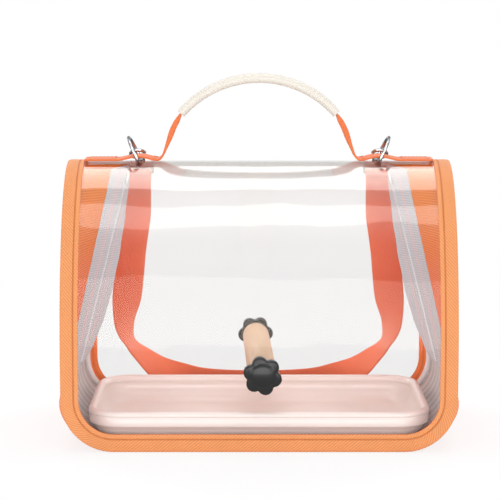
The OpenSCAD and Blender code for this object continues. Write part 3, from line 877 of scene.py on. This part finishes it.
class CARRIER_OT_base(CarrierOperator, bpy.types.Operator):
    """Fabric base, its ribbed lining and the board between them"""

    bl_idname = "carrier.base"
    bl_label = "Base"

    def make(self, sizes, colours):
        half_y = 82.0 * MM
        shell_path = base_path(148.6 * MM, 38.6 * MM, 0.0, 50 * MM)
        lining_path = base_path(147.2 * MM, 37 * MM, 3.3 * MM, 49.6 * MM)
        piping_path = base_path(144.2 * MM, 34.2 * MM, 6.4 * MM, 51 * MM, step=1.5 * MM)
        piping_radius = 2.2 * MM
        weave = weave_finish("base_fabric_weave", colours.shell)
        bm = fresh_mesh()
        base_cloth(bm, shell_path, half_y, bulge=6.5 * MM, thick=1.2 * MM)
        wrap_piece("base_fabric", bm, weave, "bag", ("base_shell",))
        bm = fresh_mesh()
        base_cloth(bm, lining_path, half_y - 0.3 * MM, bulge=2.2 * MM, thick=1.6 * MM)
        wrap_piece("base_lining_cloth", bm, lining_finish(colours), "bag", ("base_lining",))
        bm = fresh_mesh()
        for side in (-1, 1):
            line = [Vector((x, side * (half_y - piping_radius), z)) for x, z, _, _ in piping_path]
            thread_tube(bm, line, [piping_radius] * len(line), sides=10)
        weld(bm, bm.verts)
        wrap_piece("lining_piping", bm, thread_finish(colours, "piping_cloth", "piping"), "bag")
        dress("base_board", moulded_finish("stiff_board", tone(196, 196, 196), 0.7, 700, 0.05 * MM))


# ---- sides and zips ----

SIDE_LOW = 50.1 * MM
SIDE_TOP = 208 * MM
CHAIN_Y = -5 * MM
CHAIN_HALF = 2.9 * MM
CHAIN_LOW_X = 143.4 * MM
CHAIN_TOP_X = 103.0 * MM
TAPE_WIDE = 15.5 * MM
HANDS = (("left", False), ("right", True))
PARTS = (("front", -1), ("rear", 1))


def climb(z):
    """0 at the base's top, 1 where the sides meet the crown."""
    return (z - SIDE_LOW) / (SIDE_TOP - SIDE_LOW)


def chain_x(z):
    """How far the zip's coil is from the middle: the sides are drawn in towards the crown."""
    return CHAIN_LOW_X + (CHAIN_TOP_X - CHAIN_LOW_X) * climb(z)


def tape_edge(side, z):
    """Outer edge of the front (-1) or rear (1) zip tape, left side of the bag."""
    if side < 0:
        x = min(BAG_HALF - 3 * MM, chain_x(z) + (8 + 4.2 * climb(z)) * MM)
        dx = x - chain_x(z)
    else:
        dx = (9.6 * math.sin(math.pi * max(climb(z), 0) ** 0.7) + 0.5) * MM
        x = chain_x(z) - dx
    return Vector((-x, CHAIN_Y + side * (CHAIN_HALF + math.sqrt(max(TAPE_WIDE ** 2 - dx * dx, 0))), z))


def chain_edge(side, z):
    """Inner edge of a zip tape, beside the coil."""
    return Vector((-chain_x(z), CHAIN_Y + side * CHAIN_HALF, z))


def mesh_place(side, z, u):
    """Point on a side's mesh, bowed outwards from its seam at u = 0 to the zip tape at u = 1."""
    edge = tape_edge(side, z) + Vector((0, side * 0.4 * MM, 0))
    seam = Vector((-139 * MM, side * (front_y(z) - 0.9 * MM), z))
    bow_x = (152 - 14 * min(1, climb(z) * 1.6)) * MM
    bow = Vector((-bow_x, edge.y + (seam.y - edge.y) * 0.72, z))
    return seam * (1 - u) ** 2 + bow * 2 * u * (1 - u) + edge * u * u


def reach_crown(point):
    """Draws the top of a side up to the underside of the crown."""
    share = min(max((climb(point.z) - 0.8) / 0.2, 0), 1) ** 2
    roof = ARCH_Z + ARCH_RISE * math.sqrt(max(0, 1 - (point.y / SHEET_Y) ** 2)) - 1.4 * MM
    return point + Vector((0, 0, max(0, roof - SIDE_TOP) * share))


def mirror_x(bm):
    """Makes a left side's piece into the right side's."""
    for vert in bm.verts:
        vert.co.x = -vert.co.x
    bmesh.ops.reverse_faces(bm, faces=bm.faces)


def side_skin(bm, place, rows, columns, thick, uv):
    """A skin laid by place(z, u) from the base's top to the crown, thick towards the inside."""
    def height(i):
        return SIDE_LOW + (SIDE_TOP - SIDE_LOW) * math.sin(math.pi / 2 * i / rows)

    laid_grid(bm, rows, columns, lambda i, j: place(height(i), j / columns),
              lambda i, j: uv(height(i), j / columns))
    bmesh.ops.recalc_face_normals(bm, faces=bm.faces)
    if sum(f.normal.x for f in bm.faces) > 0:
        bmesh.ops.reverse_faces(bm, faces=bm.faces)
    bmesh.ops.solidify(bm, geom=bm.faces[:], thickness=thick)


class CARRIER_OT_sides(CarrierOperator, bpy.types.Operator):
    """Mesh sides, drawn in towards the zips"""

    bl_idname = "carrier.sides"
    bl_label = "Mesh sides"

    def make(self, sizes, colours):
        knit = mesh_finish(colours, sizes)
        mesh_wide = 75 * MM
        for hand, flip in HANDS:
            for part, side in PARTS:
                def place(z, u):
                    point = mesh_place(side, z, u)
                    ripple = math.sin(z * 190 + u * 3 + side) * math.sin(math.pi * u) * 0.5 * MM
                    return reach_crown(point + Vector((ripple * climb(z), 0, 0)))

                bm = fresh_mesh()
                side_skin(bm, place, 70, 30, 0.6 * MM, lambda z, u: (z, u * mesh_wide))
                if flip:
                    mirror_x(bm)
                wrap_piece(f"{hand}_mesh_{part}_cloth", bm, knit, "bag",
                           (f"{hand}_mesh_{part}",))


class CARRIER_OT_zips(CarrierOperator, bpy.types.Operator):
    """Zip tapes, coils, sliders, pulls and end stops of both sides"""

    bl_idname = "carrier.zips"
    bl_label = "Zips"

    def make(self, sizes, colours):
        weave = zip_tape_finish(colours)
        coil = moulded_finish("zip_coil_nylon", colours.coil, 0.38, 900, 0.02 * MM)
        enamel = metal_finish("zip_enamel", (206, 208, 212), 0.3, 0.6)
        for hand, flip in HANDS:
            for part, side in PARTS:
                def place(z, u):
                    start, stop = chain_edge(side, z), tape_edge(side, z)
                    wave = math.sin(z * 240) * 0.25 * MM * u
                    return reach_crown(start.lerp(stop, u) + Vector((wave, 0, 0)))

                bm = fresh_mesh()
                side_skin(bm, place, 80, 8, 0.8 * MM, lambda z, u: (z, u * TAPE_WIDE))
                if flip:
                    mirror_x(bm)
                wrap_piece(f"{hand}_zip_{part}_woven", bm, weave, "bag",
                           (f"{hand}_zip_tape_{part}",))
            bm = fresh_mesh()
            self.coils(bm, sizes.tooth_pitch)
            if flip:
                mirror_x(bm)
            wrap_piece(f"{hand}_zip_teeth", bm, coil, "bag", (f"{hand}_zip_chain",))
            eased_copy(f"{hand}_zip_slider", f"{hand}_slider_body", enamel, f"{hand}_slider")
            eased_copy(f"{hand}_zip_pull", f"{hand}_pull_tab", enamel, f"{hand}_pull")
        dress("zip_end_stops", enamel)

    def coils(self, bm, pitch):
        """The two meshing coils of a closed zip, half a pitch apart."""
        run = Vector((CHAIN_LOW_X - CHAIN_TOP_X, 0, SIDE_TOP - SIDE_LOW)).normalized()
        foot = Vector((-CHAIN_LOW_X, CHAIN_Y, SIDE_LOW))
        across = Vector((0, 1, 0))
        out = run.cross(across)
        loop, off, wire = 1.3 * MM, 1.35 * MM, 0.46 * MM
        turns = int((SIDE_TOP - SIDE_LOW) / run.z / pitch) - 2
        steps = 10
        for side in (-1, 1):
            line = []
            for i in range(turns * steps + 1):
                a = TAU * i / steps
                up = (i / steps + 1 + side * 0.25) * pitch
                line.append(foot + run * up + across * side * (off + loop * math.cos(a))
                            + out * loop * math.sin(a))
            thread_tube(bm, line, [wire] * len(line), sides=5)
        weld(bm, bm.verts)


# ---- handle ----

GRIP_R = 80.96 * MM
GRIP_HALF = math.radians(48.6)
ARC_Z = 198.04 * MM
FOLD_LOW, FOLD_RISE = 219 * MM, 18 * MM
SLEEVE_LOW, SLEEVE_EASE = 251.5 * MM, 6 * MM


def grip_point(angle):
    """Point on the grip's arc, at an angle from its top towards the right."""
    return Vector((GRIP_R * math.sin(angle), 0, ARC_Z + GRIP_R * math.cos(angle)))


def webbing_line():
    """Middle line of the handle's webbing in the XZ plane: along the crown from the left end, over the
    ring's bar, up the leg, and through the grip to the middle."""
    flat = [(-136.2, 215.4), (-126, 215.4), (-116, 215.4), (-109.5, 215.5), (-104, 216.6)]
    hump = [(-98.5, 217.85), (-94.5, 218.0), (-90.5, 217.85), (-86, 216.8), (-81.6, 215.6)]
    leg = [(-78.4, 215.7), (-76.3, 217.2), (-74.6, 220), (-71, 229), (-67.8, 238), (-65.4, 243)]
    arc_steps = 12
    arc = [grip_point(-GRIP_HALF * (1 - i / arc_steps)) for i in range(arc_steps + 1)]
    return [Vector((x * MM, 0, z * MM)) for x, z in flat + hump + leg] + arc


class CARRIER_OT_handle(CarrierOperator, bpy.types.Operator):
    """Handle webbing, its leather grip and its stitches on the crown"""

    bl_idname = "carrier.handle"
    bl_label = "Handle"

    def make(self, sizes, colours):
        left = webbing_line()
        points = left + [Vector((-p.x, 0, p.z)) for p in reversed(left[:-1])]
        line = curve_through(points, 1.6 * MM)
        bm = fresh_mesh()
        across = [Vector((0, 1, 0))] * len(line)
        weld(bm, ribbon_run(bm, line, across, flat_section(WEB_WIDE, WEB_THICK),
                            [(1, self.fold(p.z)) for p in line]))
        web = wrap_piece("handle_web", bm, webbing_finish("handle_webbing_weave", colours.webbing),
                         None,
                         ("handle_webbing", "left_crown_webbing", "right_crown_webbing"))
        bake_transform(web)
        self.grip(colours)
        self.stitches(colours)

    def fold(self, z):
        """How many times thicker the legs are at height z: they are folded double below the grip."""
        rise = min(max((z - FOLD_LOW) / FOLD_RISE, 0), 1)
        fall = min(max((SLEEVE_LOW - z) / SLEEVE_EASE, 0), 1)
        return 1 + 1.6 * (rise * rise * (3 - 2 * rise)) * fall - 0.2 * (1 - fall)

    def grip(self, colours):
        """The leather sleeve, open at both ends, with the webbing inside it."""
        bm = fresh_mesh()
        stations = 72
        centres = [grip_point(GRIP_HALF * (2 * i / stations - 1)) for i in range(stations + 1)]
        across = [Vector((0, 1, 0))] * len(centres)
        section = flat_section(27 * MM, 7.2 * MM, waist=0.35 * MM)
        weld(bm, ribbon_run(bm, centres, across, section), ends=False)
        top = max(bm.faces, key=lambda f: f.calc_center_median().z)
        if top.normal.z < 0:
            bmesh.ops.reverse_faces(bm, faces=bm.faces)
        bmesh.ops.solidify(bm, geom=bm.faces[:], thickness=0.9 * MM)
        round_edges(bm, [e for e in bm.edges if abs(e.calc_face_angle(0)) > math.radians(60)], 0.25 * MM)
        wrap_piece("leather_grip", bm, grip_finish(colours), "handle", ("handle_grip",))

    def stitches(self, colours):
        """Sewn boxes that hold the webbing on the crown, and a short seam beside each leg."""
        bm = fresh_mesh()
        box, leg_seam = (112, 133), (79.5, 84)
        for hand in (-1, 1):
            for low, high in (box, leg_seam):
                xs = [hand * (low + (high - low) * t / 12) for t in range(13)]
                for y in (-10.6, 10.6):
                    self.seam(bm, [(x, y) for x in xs], 2.9 * MM)
            for x in box:
                self.seam(bm, [(hand * x, y) for y in range(-10, 11)], 2.6 * MM)
        wrap_piece("web_stitches", bm, thread_finish(colours, "web_thread"), "bag")

    def seam(self, bm, spots, pitch):
        centres = [Vector((x, y, self.top_of_web(abs(x)))) * MM for x, y in spots]
        stitch_row(bm, centres, [Vector((0, 0, 1))] * len(centres), pitch)

    def top_of_web(self, x):
        """Height of the webbing's upper face at distance x from the middle, in millimetres."""
        line = webbing_line()
        for a, b in zip(line, line[1:]):
            if b.x >= -x * MM >= a.x:
                t = (-x * MM - a.x) / (b.x - a.x)
                return (a.z + (b.z - a.z) * t) / MM + 0.85
        raise ValueError(f"no webbing at {x} mm")


# ---- rings and hooks ----


class CARRIER_OT_hardware(CarrierOperator, bpy.types.Operator):
    """Chrome D-rings and snap hooks"""

    bl_idname = "carrier.hardware"
    bl_label = "Rings and hooks"

    def make(self, sizes, colours):
        chrome = chrome_finish()
        steel = metal_finish("plain_steel", (176, 176, 178), 0.32)
        for hand in ("left", "right"):
            for part in ("d_ring", "hook_body", "hook_gate", "hook_eye"):
                dress(f"{hand}_{part}", chrome)
            dress(f"{hand}_gate_pin", steel)


# ---- shoulder strap ----

BEHIND = 2.6 * MM


def back_y(z):
    """Depth of the strap where it lies against the back of the bag."""
    rise = max(0, z - ARCH_Z) / (ARCH_RISE + BEHIND)
    return (SHEET_Y + BEHIND) * math.sqrt(1 - rise * rise)


def strap_stops():
    """x, y, z, width, heading, turn: down the back from the hook's eye to the middle below.

    Millimetres and degrees. The strap starts with a loop round the eye's bar."""
    hook_x, bar_y, bar_z, loop, narrow = 96.136, 39.48, 201.008, 2.1, 18.4
    stops = []
    for angle in (300, 240, 180, 120, 60):
        a = math.radians(angle)
        stops.append((-hook_x, bar_y + loop * math.cos(a), bar_z + loop * math.sin(a), narrow, 0, 0))
    stops.append((-hook_x, 43.2, 201.0, narrow, 0, 0))
    for x, z, width, heading in ((-97.4, 190, 19.5, 0), (-98.6, 180, 21, 0), (-101, 164, 24, -2),
                                 (-103.7, 150, 25, -3), (-106.5, 132, 25, -3), (-109, 108, 25, -3)):
        stops.append((x, back_y(z * MM) / MM, z, width, heading, 0))
    fold = [(-111.5, 90, 88, -2, 18), (-113.5, 95.5, 70, 0, 49), (-112.5, 98, 59, 2, 63),
            (-109.6, 99, 50.3, 5, 76), (-105.4, 99, 44.4, 16, 72), (-98.2, 98.8, 38, 36, 64),
            (-89.6, 98.6, 30.6, 50, 52), (-80.5, 98.2, 24.6, 62, 36), (-66, 97, 19.4, 74, 14)]
    foot = [(-50, 96.2, 15.9, 80, 0), (-28.9, 95.8, 14, 86, 0), (0, 95.6, 13.4, 90, 0)]
    for x, y, z, heading, turn in fold + foot:
        stops.append((x, y, z, WEB_WIDE / MM, heading, turn))
    return stops


def strap_rows():
    """Centre and across vectors, with the width as the across vector's length."""
    rows = []
    stops = strap_stops()
    for m, run in ((1, stops), (-1, stops[-2::-1])):
        for x, y, z, width, heading, turn in run:
            h, t = math.radians(heading), math.radians(turn)
            across = Vector((m * math.cos(h) * math.cos(t), math.sin(t), math.sin(h) * math.cos(t)))
            rows.append((Vector((m * x, y, z)) * MM, across * width * MM))
    return rows


class CARRIER_OT_strap(CarrierOperator, bpy.types.Operator):
    """Shoulder strap that hangs behind the bag, sewn round both hook eyes"""

    bl_idname = "carrier.strap"
    bl_label = "Shoulder strap"

    def make(self, sizes, colours):
        line = curve_through([Vector((*centre, *across)) for centre, across in strap_rows()], 1.8 * MM)
        centres = [Vector(p[:3]) for p in line]
        across = [Vector(p[3:]) for p in line]
        bm = fresh_mesh()
        weld(bm, ribbon_run(bm, centres, across, flat_section(WEB_WIDE, WEB_THICK),
                            [(a.length / WEB_WIDE, 1) for a in across]))
        wrap_piece("strap_web", bm, webbing_finish("strap_webbing_weave", colours.strap), "strap",
                   ("shoulder_strap", "left_strap_side", "right_strap_side"))


# ---- perch ----


def perch_frame(end):
    """Frame on the perch's axis at the clear panel: Z points out of the bag; end -1 is the front.

    The perch sits a little askew: over its 170 mm it goes 4.4 mm sideways and 2 mm up."""
    yaw, pitch = math.atan(4.4 / 170), math.atan(2 / 170)
    middle = (0.2 * MM, 0, 59.6 * MM)
    turn = Matrix.Rotation(yaw, 4, "Z") @ Matrix.Rotation(-pitch, 4, "X")
    outwards = Matrix.Rotation(math.radians(-end * 90), 4, "X")
    return Matrix.Translation(middle) @ turn @ Matrix.Translation((0, end * SHEET_Y, 0)) @ outwards


def star_radius(angle, first):
    """Outline of the six-lobed knob: round lobes joined by soft hollows."""
    core, reach, lobe, sharp = 11.2, 9.3, 5.3, 9
    turn = (angle - first + math.pi / 6) % (math.pi / 3) - math.pi / 6
    across = reach * math.sin(turn)
    tip = reach * math.cos(turn) + math.sqrt(lobe * lobe - across * across) if abs(across) < lobe else 0
    return (core ** sharp + max(tip, 0) ** sharp) ** (1 / sharp) * MM


class CARRIER_OT_perch(CarrierOperator, bpy.types.Operator):
    """Wooden perch with its star knobs"""

    bl_idname = "carrier.perch"
    bl_label = "Perch"

    def make(self, sizes, colours):
        steel = metal_finish("perch_steel", (182, 182, 184), 0.3)
        dress("perch_dowel", wood_finish(colours))
        dress("perch_inserts", metal_finish("insert_brass", (205, 170, 104), 0.35))
        for node in ("perch_washers", "front_stud", "rear_stud"):
            dress(node, steel)
        black = moulded_finish("knob_moulded", colours.knob, 0.26, 700, 0.02 * MM, coat_weight=0.15,
                               coat_roughness=0.12, specular_ior_level=0.32)
        for end, name, first in ((-1, "front", 103.6), (1, "rear", -3.0)):
            self.knob(end, name, math.radians(first), black)

    def knob(self, end, name, first, material):
        """A moulded star knob: radius and height in millimetres, but shares of the lobes' own radius
        in the star's part of the profile."""
        hub = [(0.0, 0.3), (3.1, 0.3), (3.1, 0.0), (7.0, 0.0), (7.5, 0.5), (7.5, 3.0)]
        star = [(0.62, 3.0), (0.9, 3.15), (0.965, 3.6), (1.0, 4.6), (1.0, 7.0), (1.0, 9.2),
                (0.975, 10.2), (0.92, 10.8), (0.84, 11.05), (0.72, 11.0)]
        cap = [(9.2, 11.4), (8.6, 11.9), (7.2, 12.35), (5.0, 12.85), (2.6, 13.2), (0.0, 13.35)]
        profile = hub + star + cap
        lobed = range(len(hub), len(hub) + len(star))
        around = 120
        frame_here = perch_frame(end)
        base = 1.0 * MM

        def place(i, j):
            angle = TAU * (i % around) / around
            r, z = profile[j]
            radius = star_radius(angle, first) * r if j in lobed else r * MM
            out = Vector((radius * math.cos(angle), radius * math.sin(angle), base + z * MM))
            return frame_here @ out

        def uv(i, j):
            return i / around * 90 * MM, profile[j][1] * MM

        bm = fresh_mesh()
        weld(bm, laid_grid(bm, around, len(profile) - 1, place, uv), ends=False)
        wrap_piece(f"{name}_star_knob", bm, material, f"{name}_knob", (f"{name}_knob",),
                   sharp=math.radians(60))


# ---- tray ----


class CARRIER_OT_tray(CarrierOperator, bpy.types.Operator):
    """Lift-out tray with a rolled rim"""

    bl_idname = "carrier.tray"
    bl_label = "Tray"

    def make(self, sizes, colours):
        """The profile runs from the foot's hollow up the outside, over the rim and down the inside:
        inset from the outline, and height, in millimetres."""
        low_y, high_y, half_x, radius, bottom = -76.8, 66.2, 132.0, 27.0, 4.9
        foot, inner_foot, bend_steps = 18.0, 16.2, 8
        profile = [(30, bottom + 1.2), (26, bottom + 1.1), (24.5, bottom + 0.2), (22, bottom)]
        for i in range(bend_steps + 1):
            a = math.radians(68 * i / bend_steps)
            profile.append((2.2 + foot * (1 - math.sin(a)), bottom + foot * (1 - math.cos(a))))
        lip = [(2.3, 16.6), (2.2, 17.0), (1.2, 17.1), (0.8, 17.5), (0.7, 18.2), (0.7, 23.9)]
        groove = [(1.1, 24.3), (1.1, 24.7)]
        bead = [(0.4, 24.9), (0.0, 25.4), (0.0, 26.2), (0.3, 27.4), (1.0, 28.2), (2.0, 28.7),
                (2.9, 28.9), (3.9, 28.9), (5.0, 28.5), (5.8, 27.6), (6.2, 26.2), (6.3, 24.6),
                (6.1, 23.9), (5.2, 23.5), (4.3, 23.3)]
        profile += lip + groove + bead
        for i in range(bend_steps + 1):
            a = math.radians(90 * i / bend_steps)
            profile.append((4.0 + inner_foot * (1 - math.cos(a)),
                            bottom + 1.8 + inner_foot * (1 - math.sin(a))))
        profile += [(22, bottom + 1.8), (26, bottom + 2.0), (30, bottom + 2.0)]
        corners = [(1, -1), (1, 1), (-1, 1), (-1, -1)]
        corner_steps, side_steps = 14, (22, 40, 22, 40)
        outline = []
        for k, steps in enumerate(side_steps):
            for i in range(corner_steps):
                outline.append((k, math.radians(90 * (k - 1 + i / corner_steps)), 0.0))
            for i in range(steps):
                outline.append((k, math.radians(90 * k), i / steps))
        mid_y, half_y = (low_y + high_y) / 2, (high_y - low_y) / 2
        n = len(outline)

        def corner_point(k, angle, inset):
            sx, sy = corners[k % 4]
            r = max(radius - inset, 3.0)
            return Vector((sx * (half_x - inset - r) + r * math.cos(angle),
                           mid_y + sy * (half_y - inset - r) + r * math.sin(angle)))

        def place(i, j):
            k, angle, along = outline[i % n]
            inset, z = profile[j]
            here = corner_point(k, angle, inset).lerp(corner_point(k + 1, angle, inset), along)
            return Vector((here.x, here.y, z)) * MM

        def uv(i, j):
            return i / n * 750 * MM, profile[j][0] * MM

        bm = fresh_mesh()
        weld(bm, laid_grid(bm, n, len(profile) - 1, place, uv))
        pink = moulded_finish("tray_moulded", colours.tray, 0.26, 260, 0.02 * MM, coat_weight=0.3,
                              coat_roughness=0.12)
        wrap_piece("tray_moulding", bm, pink, "tray", ("tray",), sharp=math.radians(60))


# ---- stage ----


def lamp(name, size, place, aim, power):
    """A soft rectangular lamp at place, turned towards aim."""
    data = bpy.data.lights.new(name, "AREA")
    data.shape = "RECTANGLE"
    data.size, data.size_y = size
    data.energy = power
    obj = bpy.data.objects.new(name, data)
    obj.location = place
    obj.rotation_euler = (Vector(aim) - Vector(place)).to_track_quat("-Z", "Y").to_euler()
    bpy.context.scene.collection.objects.link(obj)


def seen_directly(nodes):
    """1 for camera, glossy and transmitted rays, 0 for the light that falls on the object."""
    path = nodes.new("ShaderNodeLightPath")
    socket = path.outputs["Is Camera Ray"]
    for label in ("Is Glossy Ray", "Is Transmission Ray"):
        most = nodes.new("ShaderNodeMath")
        most.operation = "MAXIMUM"
        nodes.id_data.links.new(socket, most.inputs[0])
        nodes.id_data.links.new(path.outputs[label], most.inputs[1])
        socket = most.outputs[0]
    return socket


class CARRIER_OT_stage(CarrierOperator, bpy.types.Operator):
    """Camera, pale floor and soft studio light"""

    bl_idname = "carrier.stage"
    bl_label = "Stage"

    def make(self, sizes, colours):
        scene = bpy.context.scene
        data = bpy.data.cameras.new("camera")
        data.lens, data.sensor_width = 125.57, 36
        data.clip_start, data.clip_end = 0.05, 50
        camera = bpy.data.objects.new("camera", data)
        camera.location = (-0.0069, -1.371, 0.331)
        camera.rotation_euler = (math.radians(90 - 7.81), 0, 0)
        scene.collection.objects.link(camera)
        scene.camera = camera
        scene.view_settings.view_transform = "Standard"
        scene.cycles.transparent_max_bounces = 24
        self.floor()
        self.world(scene)
        lamp("front_low_box", (3.0, 1.1), (0, -2.6, 0.55), (0, 0, 0.12), 40)
        for side in (-1, 1):
            lamp("front_side_box", (0.9, 1.2), (1.8 * side, -1.6, 0.8), (0, 0, 0.1), 8)
            lamp("rear_side_box", (0.9, 1.2), (1.8 * side, 1.5, 0.8), (0, 0, 0.1), 18)
        lamp("top_front_box", (1.8, 0.48), (0.0, -0.9, 1.59), (0, 0, 0.15), 5)
        lamp("top_box", (1.8, 1.5), (0.0, 0.52, 1.66), (0, 0, 0.15), 19)

    def floor(self):
        """A floor that takes shadows, and that the eye sees fade into the white behind it."""
        bm = bmesh.new()
        bmesh.ops.create_grid(bm, x_segments=1, y_segments=1, size=12)
        mesh = bpy.data.meshes.new("floor")
        bm.to_mesh(mesh)
        bm.free()
        floor = bpy.data.objects.new("floor", mesh)
        bpy.context.scene.collection.objects.link(floor)
        material = bpy.data.materials.new("white_floor")
        material.use_nodes = True
        nodes, links = material.node_tree.nodes, material.node_tree.links
        shader = nodes["Principled BSDF"]
        shader.inputs["Base Color"].default_value = (0.9, 0.9, 0.9, 1)
        shader.inputs["Roughness"].default_value = 0.9
        glow = nodes.new("ShaderNodeEmission")
        glow.inputs[0].default_value = (1, 1, 1, 1)
        glow.inputs[1].default_value = 1.0
        share = nodes.new("ShaderNodeMath")
        share.operation = "MULTIPLY"
        links.new(seen_directly(nodes), share.inputs[0])
        where = nodes.new("ShaderNodeTexCoord")
        away = nodes.new("ShaderNodeVectorMath")
        away.operation = "LENGTH"
        links.new(where.outputs["Object"], away.inputs[0])
        fade = nodes.new("ShaderNodeMapRange")
        fade.interpolation_type = "SMOOTHSTEP"
        near, far, share_near, share_far = 0.1, 0.8, 0.8, 1.0
        for k, value in enumerate((near, far, share_near, share_far), start=1):
            fade.inputs[k].default_value = value
        links.new(away.outputs["Value"], fade.inputs[0])
        links.new(fade.outputs[0], share.inputs[1])
        mix = nodes.new("ShaderNodeMixShader")
        links.new(share.outputs[0], mix.inputs[0])
        links.new(shader.outputs[0], mix.inputs[1])
        links.new(glow.outputs[0], mix.inputs[2])
        links.new(mix.outputs[0], nodes["Material Output"].inputs[0])
        mesh.materials.append(material)

    def world(self, scene):
        """White where it is seen, and a weak even light on the object."""
        world = bpy.data.worlds.new("studio")
        scene.world = world
        world.use_nodes = True
        nodes, links = world.node_tree.nodes, world.node_tree.links
        soft = nodes["Background"]
        soft.inputs[0].default_value = (1, 1, 1, 1)
        soft.inputs[1].default_value = 0.3
        white = nodes.new("ShaderNodeBackground")
        white.inputs[1].default_value = 1.0
        white.inputs[0].default_value = (1, 1, 1, 1)
        mix = nodes.new("ShaderNodeMixShader")
        links.new(seen_directly(nodes), mix.inputs[0])
        links.new(soft.outputs[0], mix.inputs[1])
        links.new(white.outputs[0], mix.inputs[2])
        links.new(mix.outputs[0], nodes["World Output"].inputs[0])


OPERATORS = (
    CARRIER_OT_stage,
    CARRIER_OT_clear_panel,
    CARRIER_OT_edge_tape,
    CARRIER_OT_base,
    CARRIER_OT_sides,
    CARRIER_OT_zips,
    CARRIER_OT_handle,
    CARRIER_OT_hardware,
    CARRIER_OT_strap,
    CARRIER_OT_perch,
    CARRIER_OT_tray,
)


class CARRIER_PT_panel(bpy.types.Panel):
    """Lists the carrier's pieces, sizes and colours"""

    bl_idname = "CARRIER_PT_panel"
    bl_label = "Bird travel carrier"
    bl_space_type = "VIEW_3D"
    bl_region_type = "UI"
    bl_category = "Carrier"

    def draw(self, context):
        for group in (context.scene.carrier_sizes, context.scene.carrier_colours):
            for key in group.__annotations__:
                self.layout.prop(group, key)
        for operator in OPERATORS:
            self.layout.operator(operator.bl_idname)


CLASSES = (CarrierSizes, CarrierColours, *OPERATORS, CARRIER_PT_panel)


def register():
    for cls in CLASSES:
        bpy.utils.register_class(cls)
    bpy.types.Scene.carrier_sizes = bpy.props.PointerProperty(type=CarrierSizes)
    bpy.types.Scene.carrier_colours = bpy.props.PointerProperty(type=CarrierColours)


def unregister():
    del bpy.types.Scene.carrier_colours
    del bpy.types.Scene.carrier_sizes
    for cls in reversed(CLASSES):
        bpy.utils.unregister_class(cls)


def main():
    register()
    for operator in OPERATORS:
        group, name = operator.bl_idname.split(".")
        getattr(getattr(bpy.ops, group), name)()


if __name__ == "__main__":
    main()
